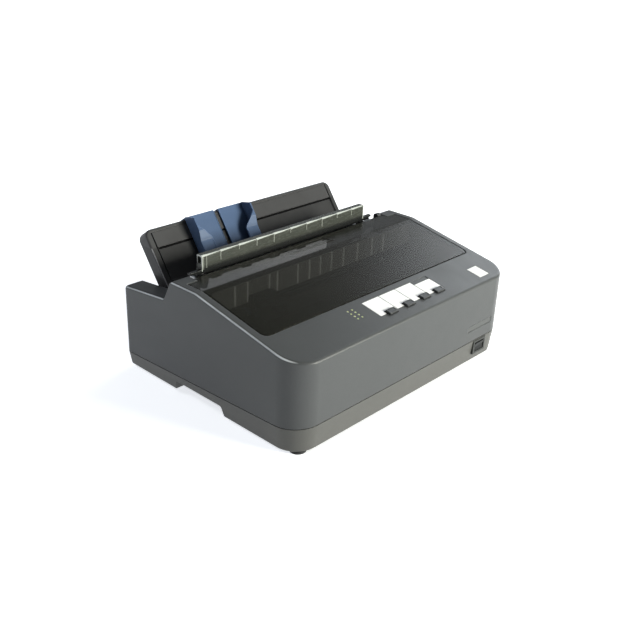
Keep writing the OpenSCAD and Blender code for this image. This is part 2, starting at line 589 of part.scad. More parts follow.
module idler_pulley() color("#d9d6cc") placed() difference() {
  union() {
    zcyl(pulley_r, 65, 75, pulley_x, belt_y);
    zcyl(8.6, 65, 66.2, pulley_x, belt_y);
    zcyl(8.6, 73.8, 75, pulley_x, belt_y);
  }
  zcyl(2.46, 64, 76, pulley_x, belt_y);
}
module timing_belt() color("#161616") placed() translate([0, belt_y, 67]) linear_extrude(6) difference() {
  union() {
    for (s = [-1, 1]) translate([s * pulley_x, 0]) circle(pulley_r + 1.2);
    translate([-pulley_x, -pulley_r - 1.2]) square([2 * pulley_x, 2 * (pulley_r + 1.2)]);
  }
  for (s = [-1, 1]) translate([s * pulley_x, 0]) circle(pulley_r + 0.2);
  translate([-pulley_x, -pulley_r - 0.2]) square([2 * pulley_x, 2 * (pulley_r + 0.2)]);
}

// ---------- ribbon ----------
module ribbon_cartridge() color("#1b1c1e") placed() difference() {
  union() {
    box(-134, 134, 90, 118, 92, 107);
    mirror_x() box(122, 134, 117, 162.2, 92, 104);
    mirror_x() box(134, 139.5, 100, 112, 93, 97);
  }
  zcyl(4.06, 100, 120, -104, 104);
  for (i = [0:3]) box(20 + 20 * i, 32 + 20 * i, 95, 113, 105.5, 120);
}
module ribbon() color("#101012") placed() box(-133, 133, 162.2, 162.6, 90, 102);
module ribbon_knob() color("#8d949b") placed() difference() {
  union() {
    zcyl(8, 107.4, 112, -104, 104);
    zcyl(4, 101, 108, -104, 104);
    translate([-104, 104, 111.5]) translate([-6, -1.2, 0]) cube([12, 2.4, 2]);
  }
  for (i = [0:11]) zcyl(0.9, 106, 116, -104 + 8.3 * cos(30 * i), 104 + 8.3 * sin(30 * i));
}

// ---------- rear tractors ----------
tractor_cx = 112;
module tractor_drive_shaft() color("#c4c6c8") placed() union() {
  box(-frame_x + 1.5, frame_x - 1.5, T[0] - 3, T[0] + 3, T[1] - 3, T[1] + 3);
  xcyl(3, -152.5, 146.5, T);
  gear(42, -152, -147, T, gap_at(42, tr_ang + 180), 0);
}
module tractor_guide_shaft() color("#c4c6c8") placed() xcyl(3, -frame_x - frame_t, frame_x + frame_t, G);
// one tractor centred on x = c, hinge of its flap on side s
module tractor(c, s) difference() {
  union() {
    for (o = [-9, 6]) translate([c, 0, 0]) xprism(rounded([[T[0] - 13, T[1] - 6, 6], [T[0] - 4, T[1] - 13, 6], [G[0] + 6, G[1] - 6, 5], [G[0] + 7, G[1] + 6, 5], [T[0] + 9, T[1] + 13, 6], [T[0] - 9, T[1] + 13, 6], [T[0] - 13, T[1] + 6, 5]]), o, o + 3);
    translate([c, 0, 0]) xcyl(5, -6.5, 6.5, G);
    // lugs and pin of the flap hinge
    for (y = [209.2, 227]) box(s > 0 ? c + 8.5 : c - 13.5, s > 0 ? c + 13.5 : c - 8.5, y, y + 3, T[1] + 6, T[1] + 20.8);
    ycyl(0.8, 210, 229, c + s * 11.7, T[1] + 19.2);
  }
  translate([c, 0, 0]) xcyl(5.75, -10, 10, T);
  translate([c, 0, 0]) xcyl(3.06, -10, 10, G);
}
module tractor_left() color("#3b3d40") placed() tractor(-tractor_cx, -1);
module tractor_right() color("#3b3d40") placed() tractor(tractor_cx, 1);
module sprocket(c) difference() {
  union() {
    translate([c, 0, 0]) xcyl(sprocket_r, -4.6, 4.6, T);
    translate([c, 0, 0]) xcyl(5.65, -9, 9, T);
    for (i = [0:7]) translate([c, T[0], T[1]]) rotate([i * 45 + 22.5, 0, 0]) translate([0, 0, 9]) cylinder(r = 1.7, h = sprocket_r - 6, $fn = 24);
  }
  box(c - 10, c + 10, T[0] - 3.15, T[0] + 3.15, T[1] - 3.15, T[1] + 3.15);
}
module tractor_sprocket_left() color("#d8d6ce") placed() sprocket(-tractor_cx);
module tractor_sprocket_right() color("#d8d6ce") placed() sprocket(tractor_cx);
module flap(c, s) {
  hx = c + s * 11.7; hz = T[1] + 19.2;
  difference() {
    union() {
      ycyl(1.8, 212.6, 226.6, hx, hz);
      box(min(hx, hx - s * 20), max(hx, hx - s * 20), 213, 226.2, hz + 1.0, hz + 2.6);
      box(min(hx - s * 4, hx - s * 20), max(hx - s * 4, hx - s * 20), 209.5, 230, hz + 1.0, hz + 2.6);
    }
    ycyl(0.9, 200, 240, hx, hz);
    box(c - 2.4, c + 2.4, 212, 228, hz, hz + 5);
  }
}
module tractor_flap_left() color("#4a4d51") placed() flap(-tractor_cx, -1);
module tractor_flap_right() color("#4a4d51") placed() flap(tractor_cx, 1);

// ---------- electrics ----------
module main_board() color("#2f6b4a") placed() {
  difference() {
    box(-58, 148, 12, 86, 12, 13.6);
    for (x = [-52, 142], y = [18, 80]) zcyl(1.6, 10, 15, x, y);
  }
  box(10, 38, 40, 68, 13.59, 16);
  box(50, 66, 30, 66, 13.59, 17);
  for (i = [0:3]) zcyl(5, 13.59, 28, 90 + 14 * i, 70);
  box(-50, -10, 66, 72, 13.59, 36);
  for (i = [0:4]) box(-48 + 9 * i, -42 + 9 * i, 20, 30, 13.59, 19);
}
module power_supply() color("#8c7a52") placed() {
  difference() {
    box(-148, -72, 12, 86, 12, 13.6);
    for (x = [-142, -78], y = [18, 80]) zcyl(1.6, 10, 15, x, y);
  }
  box(-134, -100, 28, 70, 13.59, 50);
  box(-92, -84, 24, 70, 13.59, 44);
  zcyl(9, 13.59, 44, -86, 44 + 34);
}
module ac_inlet() color("#18181a") placed() difference() {
  union() {
    box(-143.5, -116.5, 252, case_d - 0.01, 24.5, 43.5);
    for (x = [-137, -130, -123]) box(x - 2, x + 2, 246, 252.5, 33.6, 34.4);
  }
  difference() {
    box(-141.5, -118.5, 258, case_d + 1, 27, 41);
    for (x = [-137, -130, -123]) box(x - 2, x + 2, 250, 271, x == -130 ? 36.1 : 32.1, x == -130 ? 37.1 : 33.1);
  }
}
module parallel_port() color("#c8cacc") placed() difference() {
  union() {
    box(20.5, 85.5, 262, case_d + 0.0, 27.5, 40.5);
    box(24, 82, 255, 262.5, 29, 39);
  }
  box(23, 83, 266, case_d + 1, 29.5, 38.5);
}
module serial_port() color("#c8cacc") placed() difference() {
  union() {
    box(96.5, 127.5, 262, case_d, 28.5, 39.5);
    box(102, 122, 255, 262.5, 30, 38);
  }
  yprism([[102, 30.5], [122, 30.5], [124, 37.5], [100, 37.5]], 267, case_d + 1);
}
module usb_port() color("#b6b9bc") placed() difference() {
  box(137.5, 149.5, 259, case_d, 27.5, 38.5);
  difference() {
    box(139, 148, 262, case_d + 1, 29, 37);
    box(141, 146, 261, 272, 31.5, 34.5);
  }
}

lower_case();
upper_case();
rubber_feet();
assembly_screws();
panel_label();
status_lights();
name_badge();
info_sticker();
pause_button();
tear_off_button();
line_feed_button();
font_button();
panel_board();
power_switch_body();
power_rocker();
printer_cover();
tension_unit();
tension_roller();
paper_guide();
edge_guide_left();
edge_guide_right();
chassis();
side_frame_left();
side_frame_right();
platen_roller();
platen_shaft();
platen_knob();
platen_gear();
reduction_gear();
tractor_idler_gear();
feed_motor();
feed_motor_pinion();
pressure_rollers();
paper_pan();
release_lever();
thickness_lever();
carriage();
print_head();
guide_shaft();
carriage_motor();
drive_pulley();
idler_pulley();
timing_belt();
ribbon_cartridge();
ribbon();
ribbon_knob();
tractor_drive_shaft();
tractor_guide_shaft();
tractor_left();
tractor_right();
tractor_sprocket_left();
tractor_sprocket_right();
tractor_flap_left();
tractor_flap_right();
main_board();
power_supply();
ac_inlet();
parallel_port();
serial_port();
usb_port();
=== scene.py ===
import bpy
import json
import math
import numpy as np
from mathutils import Matrix, Vector


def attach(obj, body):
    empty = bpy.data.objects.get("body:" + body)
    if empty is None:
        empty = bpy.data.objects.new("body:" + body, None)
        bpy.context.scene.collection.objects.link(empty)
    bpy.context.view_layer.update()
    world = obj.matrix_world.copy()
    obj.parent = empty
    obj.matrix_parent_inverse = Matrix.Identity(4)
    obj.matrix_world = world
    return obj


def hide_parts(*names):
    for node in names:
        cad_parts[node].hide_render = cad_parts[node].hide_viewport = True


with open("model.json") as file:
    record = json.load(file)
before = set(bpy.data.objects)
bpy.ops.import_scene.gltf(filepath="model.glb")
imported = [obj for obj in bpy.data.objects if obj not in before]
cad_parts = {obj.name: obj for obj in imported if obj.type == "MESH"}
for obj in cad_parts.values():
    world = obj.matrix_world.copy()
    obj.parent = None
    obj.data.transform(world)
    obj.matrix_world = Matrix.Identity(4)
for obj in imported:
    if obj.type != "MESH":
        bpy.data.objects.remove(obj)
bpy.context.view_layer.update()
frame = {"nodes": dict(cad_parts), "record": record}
NODES = frame["nodes"]

# --------------------------------------------------------------------------
# Lengths below are millimetres in the part's own frame, front face at y = 0.
# --------------------------------------------------------------------------
c54, s54 = math.cos(math.radians(54)), math.sin(math.radians(54))
YM = (234.6 + 66.8 * c54 + 18.9 * s54 - 1.5) / 2
HW, CD = 181.0, 275.0
SLOPE = 0.197
SA = math.atan(SLOPE)
P, C, H = (178.0, 94.0), (140.0, 70.0), (169.0, 130.4)
U, V, Q, L = (192.0, 117.0), (187.5, 124.0), (238.0, 99.0), (205.0, 88.0)


def top_z(y):
    return 103.7 + SLOPE * y


def split_z(y):
    return 31.8 - 11.6 * y / CD


I4 = Matrix.Identity(4)
MX = Matrix(((0, 0, 1, 0), (1, 0, 0, 0), (0, 1, 0, 0), (0, 0, 0, 1)))   # (u, v, w) -> y, z, x
MY = Matrix(((1, 0, 0, 0), (0, 0, -1, 0), (0, 1, 0, 0), (0, 0, 0, 1)))  # (u, v, w) -> x, z, -y


def on_slope(x, y):
    return Matrix.Translation((x, y, top_z(y))) @ Matrix.Rotation(SA, 4, "X")


GUIDE = Matrix.Translation((0, 234.6, 106.3)) @ Matrix.Rotation(math.radians(54), 4, "X")


# ----------------------------------------------------------------- geometry
def mesh_object(name, verts, faces, m=I4):
    me = bpy.data.meshes.new(name)
    co = []
    for v in verts:
        p = m @ Vector(v)
        co.append((p.x * 0.001, (p.y - YM) * 0.001, p.z * 0.001))
    me.from_pydata(co, [], faces)
    me.validate()
    me.update()
    o = bpy.data.objects.new(name, me)
    bpy.context.scene.collection.objects.link(o)
    return o


def fillet(pts, seg=8, closed=True):
    """Rounds the corners (x, y, r) of a counter-clockwise outline. Returns points and inward unit steps."""
    out, vec = [], []
    n = len(pts)
    for i, p in enumerate(pts):
        a = Vector(pts[(i - 1) % n][:2])
        b = Vector(p[:2])
        c = Vector(pts[(i + 1) % n][:2])
        r = p[2] if len(p) > 2 else 0
        d0, d1 = (b - a).normalized(), (c - b).normalized()
        n0, n1 = Vector((-d0.y, d0.x)), Vector((-d1.y, d1.x))
        cross = d0.x * d1.y - d0.y * d1.x
        if r <= 0 or abs(cross) < 1e-6:
            out.append((b.x, b.y))
            k = (n0 + n1) / (1 + n0.dot(n1))
            vec.append((k.x, k.y))
            continue
        s = 1 if cross > 0 else -1
        ang = math.acos(max(-1, min(1, d0.dot(d1))))
        t = r * math.tan(ang / 2)
        cen = b - d0 * t + n0 * r * s
        a0 = math.atan2(-n0.y * s, -n0.x * s)
        steps = max(2, int(math.ceil(seg * ang / (math.pi / 2))))
        for k in range(steps + 1):
            w = a0 + s * ang * k / steps
            e = Vector((math.cos(w), math.sin(w)))
            q = cen + e * r
            out.append((q.x, q.y))
            vec.append((-e.x * s, -e.y * s))
    return out, vec


def slab(name, outline, z0, z1, r0=0.0, r1=0.0, seg=3, m=I4, rnd=8):
    """Closed solid: an outline between z0 and z1 with rounded lower and upper edges."""
    pts, vec = fillet(outline, rnd) if not isinstance(outline, tuple) else outline
    n = len(pts)
    rows = []
    if r0 > 0:
        for k in range(seg + 1):
            a = k / seg * math.pi / 2
            rows.append((r0 * (1 - math.sin(a)), z0 + r0 * (1 - math.cos(a))))
    else:
        rows.append((0, z0))
    if r1 > 0:
        for k in range(seg + 1):
            a = k / seg * math.pi / 2
            rows.append((r1 * (1 - math.cos(a)), z1 - r1 * (1 - math.sin(a))))
    else:
        rows.append((0, z1))
    verts = [(p[0] + v[0] * d, p[1] + v[1] * d, z) for d, z in rows for p, v in zip(pts, vec)]
    faces = []
    for k in range(len(rows) - 1):
        for i in range(n):
            j = (i + 1) % n
            faces.append((k * n + i, k * n + j, (k + 1) * n + j, (k + 1) * n + i))
    faces.append(tuple(reversed(range(n))))
    faces.append(tuple(range((len(rows) - 1) * n, len(rows) * n)))
    return mesh_object(name, verts, faces, m)


def rect(x0, x1, y0, y1, r=0.0):
    return [(x0, y0, r), (x1, y0, r), (x1, y1, r), (x0, y1, r)]


def block(name, x0, x1, y0, y1, z0, z1, m=I4, r=0.0, e=0.0, seg=2):
    return slab(name, rect(x0, x1, y0, y1, r), z0, z1, e, e, seg, m)


def circle(cx, cy, r, n=48):
    pts = [(cx + r * math.cos(2 * math.pi * i / n), cy + r * math.sin(2 * math.pi * i / n)) for i in range(n)]
    return pts, [(-math.cos(2 * math.pi * i / n), -math.sin(2 * math.pi * i / n)) for i in range(n)]


def xcyl(name, r, x0, x1, c, n=48, e=0.0, seg=3):
    return slab(name, circle(c[0], c[1], r, n), x0, x1, e, e, seg, MX)


def zcyl(name, r, z0, z1, x, y, n=32, m=I4, e=0.0):
    return slab(name, circle(x, y, r, n), z0, z1, e, e, 3, m)


def xprism(name, poly, x0, x1, e=0.0, seg=2):
    return slab(name, poly, x0, x1, e, e, seg, MX)


def baked(o):
    """Puts the result of the modifiers into the mesh."""
    dg = bpy.context.evaluated_depsgraph_get()
    me = bpy.data.meshes.new_from_object(o.evaluated_get(dg))
    o.modifiers.clear()
    old = o.data
    o.data = me
    bpy.data.meshes.remove(old)
    return o


def boo(a, b, op="DIFFERENCE"):
    md = a.modifiers.new("b", "BOOLEAN")
    md.operation = op
    md.solver = "MANIFOLD"
    md.object = b
    baked(a)
    bpy.data.objects.remove(b)
    return a


def cut(a, *cutters):
    for b in cutters:
        boo(a, b)
    return a


def add(a, *parts):
    for b in parts:
        boo(a, b, "UNION")
    return a


def common(a, b):
    return boo(a, b, "INTERSECT")


def bevel(o, w, seg=2, angle=40):
    md = o.modifiers.new("bevel", "BEVEL")
    md.width = w * 0.001
    md.segments = seg
    md.limit_method = "ANGLE"
    md.angle_limit = math.radians(angle)
    md.miter_outer = "MITER_ARC"
    return baked(o)


def soften(o, angle=32):
    me = o.data
    for p in me.polygons:
        p.use_smooth = True
    me.set_sharp_from_angle(angle=math.radians(angle))
    md = o.modifiers.new("normals", "WEIGHTED_NORMAL")
    md.mode = "FACE_AREA"
    md.weight = 60
    md.keep_sharp = True
    return o


def place(o, mat, body="case", node=None, angle=32):
    soften(o, angle)
    o.data.materials.clear()
    o.data.materials.append(mat)
    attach(o, body)
    if node:
        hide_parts(node)
    return o


def copy_of(o, name):
    q = o.copy()
    q.data = o.data.copy()
    q.name = name
    q.data.name = name
    bpy.context.scene.collection.objects.link(q)
    return q


# ---------------------------------------------------------------- materials
class Graph:
    def __init__(self, name):
        self.mat = bpy.data.materials.new(name)
        self.mat.use_nodes = True
        self.nt = self.mat.node_tree
        self.nt.nodes.clear()
        self.out = self.node("ShaderNodeOutputMaterial")
        self.bsdf = self.node("ShaderNodeBsdfPrincipled")
        self.link(self.bsdf.outputs[0], self.out.inputs[0])
        self.co = self.node("ShaderNodeTexCoord").outputs["Object"]

    def node(self, kind, **kw):
        n = self.nt.nodes.new(kind)
        for k, v in kw.items():
            setattr(n, k, v)
        return n

    def link(self, a, b):
        self.nt.links.new(a, b)

    def noise(self, scale, detail=2.0, rough=0.5, stretch=None):
        n = self.node("ShaderNodeTexNoise")
        n.inputs["Scale"].default_value = scale
        n.inputs["Detail"].default_value = detail
        n.inputs["Roughness"].default_value = rough
        if stretch:
            mp = self.node("ShaderNodeMapping")
            mp.inputs["Scale"].default_value = stretch
            self.link(self.co, mp.inputs[0])
            self.link(mp.outputs[0], n.inputs["Vector"])
        else:
            self.link(self.co, n.inputs["Vector"])
        return n.outputs["Fac"]

    def voronoi(self, scale, feature="F1"):
        n = self.node("ShaderNodeTexVoronoi", feature=feature)
        n.inputs["Scale"].default_value = scale
        self.link(self.co, n.inputs["Vector"])
        return n.outputs["Distance"]

    def ramp(self, fac, lo, hi, a=0.0, b=1.0):
        n = self.node("ShaderNodeMapRange")
        n.inputs["From Min"].default_value = lo
        n.inputs["From Max"].default_value = hi
        n.inputs["To Min"].default_value = a
        n.inputs["To Max"].default_value = b
        self.link(fac, n.inputs["Value"])
        return n.outputs[0]

    def math(self, op, a, b=0.0):
        n = self.node("ShaderNodeMath", operation=op)
        for i, v in enumerate((a, b)):
            if hasattr(v, "is_linked"):
                self.link(v, n.inputs[i])
            else:
                n.inputs[i].default_value = v
        return n.outputs[0]

    def mix(self, fac, a, b):
        n = self.node("ShaderNodeMix", data_type="RGBA")
        if hasattr(fac, "is_linked"):
            self.link(fac, n.inputs[0])
        else:
            n.inputs[0].default_value = fac
        for i, v in ((6, a), (7, b)):
            if hasattr(v, "is_linked"):
                self.link(v, n.inputs[i])
            else:
                n.inputs[i].default_value = (*v[:3], 1)
        return n.outputs[2]

    def edge(self, radius):
        """1 on edges and corners, 0 on flats, and the rounded normal."""
        bv = self.node("ShaderNodeBevel", samples=4)
        bv.inputs[0].default_value = radius
        geo = self.node("ShaderNodeNewGeometry")
        dot = self.node("ShaderNodeVectorMath", operation="DOT_PRODUCT")
        self.link(bv.outputs[0], dot.inputs[0])
        self.link(geo.outputs["Normal"], dot.inputs[1])
        return self.ramp(dot.outputs["Value"], 0.995, 0.86), bv.outputs[0]

    def bump(self, height, strength, distance, normal=None):
        n = self.node("ShaderNodeBump")
        n.inputs["Strength"].default_value = strength
        n.inputs["Distance"].default_value = distance
        self.link(height, n.inputs["Height"])
        if normal is not None:
            self.link(normal, n.inputs["Normal"])
        return n.outputs[0]

    def set(self, **kw):
        for k, v in kw.items():
            self.bsdf.inputs[k.replace("_", " ")].default_value = v


def lighter(c, f):
    return tuple(min(1.0, x * f) for x in c[:3])


def plastic(name, col, rough=0.5, grain=1.0, cell=0.55, var=0.10, edge=0.35, round_mm=0.45, spec=0.5, dust=0.0, rim=None, wear_and_highlight_gain=2.1, above=None):
    """Moulded plastic: spark-eroded grain, slow colour drift, edges polished and lightened partly by wear and partly as
    a painted highlight, an optional painted highlight along side edges, faint handling marks.
    """
    g = Graph(name)
    slow = g.noise(22, 3.0, 0.55)
    fine = g.noise(900, 2.0, 0.6)
    marks = g.noise(60, 6.0, 0.7, (1.0, 0.35, 1.0))
    base = g.mix(slow, lighter(col, 1 - var), lighter(col, 1 + var))
    base = g.mix(g.ramp(fine, 0.35, 0.7, 0.0, 0.35), base, lighter(col, 0.82))
    wear, normal = g.edge(round_mm * 0.001)
    # edges are lightened partly as handling wear and partly as a painted highlight
    wear_and_painted_highlight = g.math("MULTIPLY", wear, g.ramp(marks, 0.35, 0.7, 0.25, 1.0))
    wear_and_painted_highlight = g.math("MULTIPLY", wear_and_painted_highlight, edge)
    base = g.mix(wear_and_painted_highlight, base, lighter(col, wear_and_highlight_gain))
    if rim:
        # painted highlight: side edges between the wall and the face looking towards the given direction are painted
        # lighter, in place of a light's reflection
        geo = g.node("ShaderNodeNewGeometry")
        sep = g.node("ShaderNodeSeparateXYZ")
        g.link(geo.outputs["Normal"], sep.inputs[0])
        face = g.node("ShaderNodeVectorMath", operation="DOT_PRODUCT")
        g.link(geo.outputs["Normal"], face.inputs[0])
        face.inputs[1].default_value = rim[:3]
        m = g.math("MULTIPLY", g.math("ABSOLUTE", sep.outputs[0]), face.outputs["Value"])
        m = g.math("MULTIPLY", g.ramp(m, 0.34, 0.47), g.ramp(marks, 0.25, 0.6, 0.65, 1.0))
        base = g.mix(m, base, lighter(col, rim[3]))
    if dust:
        geo = g.node("ShaderNodeNewGeometry")
        sep = g.node("ShaderNodeSeparateXYZ")
        g.link(geo.outputs["Normal"], sep.inputs[0])
        up = g.ramp(sep.outputs[2], 0.6, 1.0)
        base = g.mix(g.math("MULTIPLY", g.math("MULTIPLY", up, g.ramp(marks, 0.4, 0.75)), dust), base, (0.42, 0.41, 0.39))
    if above:
        # the colour is lighter above a height in the part's own frame
        xyz = g.node("ShaderNodeSeparateXYZ")
        g.link(g.co, xyz.inputs[0])
        base = g.mix(g.ramp(xyz.outputs[2], above[0], above[0] + 0.001, 0.0, 1.0), base, lighter(col, above[1]))
    g.link(base, g.bsdf.inputs["Base Color"])
    r = g.math("ADD", g.ramp(marks, 0.3, 0.75, rough - 0.07, rough + 0.06), g.math("MULTIPLY", wear, -0.06))
    g.link(r, g.bsdf.inputs["Roughness"])
    cells = g.voronoi(1000.0 / cell)
    h = g.math("ADD", cells, g.math("MULTIPLY", fine, 0.8))
    g.link(g.bump(h, 0.16 * grain, 0.00012, normal), g.bsdf.inputs["Normal"])
    g.bsdf.inputs["Specular IOR Level"].default_value = spec
    return g.mat


def smoked(name, col, alpha, rough=0.12, wave=0.05, edge_highlight_col=None, spec=0.5, coat=0.25, glow=0.0):
    """Smoked translucent plastic with moulding haze, fine scuffs, edges painted lighter as a highlight, and an optional
    painted glow.
    """
    g = Graph(name)
    slow = g.noise(14, 2.0)
    scuff = g.noise(420, 5.0, 0.72, (1.0, 0.12, 1.0))
    wear, normal = g.edge(0.0006)
    base = g.mix(slow, lighter(col, 0.85), lighter(col, 1.18))
    # edges painted lighter as a highlight
    base = g.mix(g.math("MULTIPLY", wear, 0.55), base, edge_highlight_col or lighter(col, 3.5))
    g.link(base, g.bsdf.inputs["Base Color"])
    g.link(g.ramp(scuff, 0.35, 0.72, rough, rough + 0.02), g.bsdf.inputs["Roughness"])
    g.link(g.bump(g.math("ADD", g.noise(18, 1.0), g.math("MULTIPLY", scuff, 0.002)), wave, 0.0003, normal), g.bsdf.inputs["Normal"])
    g.bsdf.inputs["Alpha"].default_value = alpha
    g.bsdf.inputs["Specular IOR Level"].default_value = spec
    g.bsdf.inputs["Coat Weight"].default_value = coat
    g.bsdf.inputs["Coat Roughness"].default_value = 0.08
    # painted glow: emission on a part that is no lamp
    if glow:
        g.bsdf.inputs["Emission Color"].default_value = (*col, 1)
        g.bsdf.inputs["Emission Strength"].default_value = glow
    return g.mat


def metal(name, col, rough=0.25, brush=(1, 1, 1), amount=0.08, spots=0.0):
    """Plated or ground metal: directional brushing, slight tarnish, bright edges."""
    g = Graph(name)
    lines = g.noise(500, 4.0, 0.6, brush)
    cloud = g.noise(35, 3.0)
    wear, normal = g.edge(0.0003)
    base = g.mix(g.ramp(cloud, 0.3, 0.7), lighter(col, 0.86), col)
    if spots:
        base = g.mix(g.ramp(g.voronoi(240), 0.0, 0.5, spots, 0.0), base, lighter(col, 0.6))
    base = g.mix(g.math("MULTIPLY", wear, 0.4), base, lighter(col, 1.25))
    g.link(base, g.bsdf.inputs["Base Color"])
    g.bsdf.inputs["Metallic"].default_value = 1.0
    g.link(g.ramp(lines, 0.3, 0.7, rough - amount, rough + amount), g.bsdf.inputs["Roughness"])
    g.link(g.bump(lines, 0.12, 0.00006, normal), g.bsdf.inputs["Normal"])
    return g.mat


def rubber(name, col, rough=0.75):
    g = Graph(name)
    fine = g.noise(1400, 3.0, 0.65)
    slow = g.noise(45, 3.0)
    wear, normal = g.edge(0.0004)
    base = g.mix(slow, lighter(col, 0.8), lighter(col, 1.35))
    base = g.mix(g.math("MULTIPLY", wear, 0.5), base, lighter(col, 2.6))
    g.link(base, g.bsdf.inputs["Base Color"])
    g.link(g.ramp(slow, 0.3, 0.7, rough - 0.1, rough + 0.08), g.bsdf.inputs["Roughness"])
    g.link(g.bump(fine, 0.25, 0.00012, normal), g.bsdf.inputs["Normal"])
    g.bsdf.inputs["Specular IOR Level"].default_value = 0.3
    return g.mat


def film(name, col):
    """Printed film: satin, very slight paper tooth, soiled rim."""
    g = Graph(name)
    slow = g.noise(60, 4.0, 0.6)
    wear, normal = g.edge(0.00025)
    base = g.mix(g.ramp(slow, 0.4, 0.75, 0.0, 0.12), col, (0.62, 0.61, 0.57))
    base = g.mix(g.math("MULTIPLY", wear, 0.35), base, (0.45, 0.45, 0.44))
    g.link(base, g.bsdf.inputs["Base Color"])
    g.link(g.ramp(slow, 0.3, 0.7, 0.38, 0.5), g.bsdf.inputs["Roughness"])
    g.link(g.bump(g.noise(1600, 2.0), 0.06, 0.00005, normal), g.bsdf.inputs["Normal"])
    return g.mat


def lens(name, col):
    g = Graph(name)
    slow = g.noise(300, 2.0)
    g.link(g.mix(slow, lighter(col, 0.7), col), g.bsdf.inputs["Base Color"])
    g.link(g.ramp(slow, 0.3, 0.7, 0.12, 0.25), g.bsdf.inputs["Roughness"])
    g.bsdf.inputs["Subsurface Weight"].default_value = 0.1
    g.bsdf.inputs["Subsurface Scale"].default_value = 0.001
    g.bsdf.inputs["Coat Weight"].default_value = 0.4
    return g.mat


def board(name):
    """Circuit board: green mask with lighter tracks and tinned pads."""
    g = Graph(name)
    tracks = g.node("ShaderNodeTexBrick")
    tracks.inputs["Scale"].default_value = 60
    tracks.inputs["Mortar Size"].default_value = 0.035
    tracks.inputs["Color1"].default_value = (0.012, 0.10, 0.045, 1)
    tracks.inputs["Color2"].default_value = (0.010, 0.085, 0.04, 1)
    tracks.inputs["Mortar"].default_value = (0.03, 0.19, 0.08, 1)
    g.link(g.co, tracks.inputs["Vector"])
    pads = g.ramp(g.voronoi(330), 0.10, 0.14, 1.0, 0.0)
    base = g.mix(pads, tracks.outputs["Color"], (0.5, 0.5, 0.46))
    g.link(base, g.bsdf.inputs["Base Color"])
    g.link(g.ramp(g.noise(80), 0.3, 0.7, 0.28, 0.42), g.bsdf.inputs["Roughness"])
    g.link(g.bump(tracks.outputs["Fac"], 0.2, 0.00008), g.bsdf.inputs["Normal"])
    return g.mat


def cloth(name, col):
    g = Graph(name)
    wv = g.node("ShaderNodeTexWave")
    wv.inputs["Scale"].default_value = 900
    wv.inputs["Distortion"].default_value = 1.5
    g.link(g.co, wv.inputs["Vector"])
    g.link(g.mix(g.noise(120), lighter(col, 0.7), lighter(col, 1.8)), g.bsdf.inputs["Base Color"])
    g.link(g.ramp(g.noise(200), 0.3, 0.7, 0.6, 0.85), g.bsdf.inputs["Roughness"])
    g.link(g.bump(wv.outputs["Fac"], 0.5, 0.00015), g.bsdf.inputs["Normal"])
    g.bsdf.inputs["Sheen Weight"].default_value = 0.4
    return g.mat


# the upper shell's top side edges get a painted highlight (rim)
M_UP = plastic("shell_upper_plastic", (0.062, 0.065, 0.067), 0.36, 1.0, 0.6, 0.05, 0.8, 0.6, 0.2, rim=(0, -0.19, 0.98, 11.0), wear_and_highlight_gain=4.0)
M_LOW = plastic("shell_lower_plastic", (0.082, 0.082, 0.077), 0.42, 1.0, 0.6, 0.05, 0.5, 0.5, 0.2)
M_COVER = smoked("cover_smoked_plastic", (0.0150, 0.0150, 0.0115), 0.76, 0.20, 0.012, (0.10, 0.10, 0.09), 0.15, 0.0)
# ribs and wall under the cover are painted with a glow, no lamp
M_COVRIB = smoked("cover_rib_plastic", (0.85, 0.85, 0.78), 0.95, 0.3, glow=0.6)
M_COVWALL = smoked("cover_wall_plastic", (0.48, 0.48, 0.42), 0.9, 0.35, glow=0.25)


def bar_plastic():
    """Translucent grey-green bar: light upper channel, lower skirt painted dark as shade, painted highlight on the
    upper edges.
    """
    g = Graph("bar_smoked_plastic")
    sep = g.node("ShaderNodeSeparateXYZ")
    g.link(g.co, sep.inputs[0])
    # painted shade: below this height the bar is painted dark, where it lies in shadow
    up = g.ramp(sep.outputs[2], 0.1335, 0.1375)
    slow = g.noise(30, 3.0)
    scuff = g.noise(500, 5.0, 0.7, (0.2, 1.0, 1.0))
    light = g.mix(slow, (0.046, 0.049, 0.043), (0.058, 0.062, 0.053))
    base = g.mix(up, (0.016, 0.017, 0.017), light)
    wear, normal = g.edge(0.0005)
    # painted highlight on the edges of the upper channel
    painted_highlight = g.math("MULTIPLY", wear, g.math("MULTIPLY", up, 0.6))
    base = g.mix(painted_highlight, base, (0.52, 0.55, 0.50))
    g.link(base, g.bsdf.inputs["Base Color"])
    g.link(g.ramp(scuff, 0.35, 0.7, 0.2, 0.34), g.bsdf.inputs["Roughness"])
    g.link(g.bump(g.math("ADD", g.noise(40, 1.0), g.math("MULTIPLY", scuff, 0.03)), 0.02, 0.0003, normal), g.bsdf.inputs["Normal"])
    g.bsdf.inputs["Alpha"].default_value = 0.94
    g.bsdf.inputs["Specular IOR Level"].default_value = 0.22
    return g.mat


M_BAR = bar_plastic()
# much lighter copy of the bar plastic: painted highlight on the top chamfers, inner ribs and end frames
M_BAR_PAINTED_HIGHLIGHT = smoked("bar_painted_highlight_plastic", (0.50, 0.53, 0.50), 0.95, 0.3)
M_BARTICK = smoked("bar_rib_plastic", (0.20, 0.21, 0.19), 0.95, 0.3)
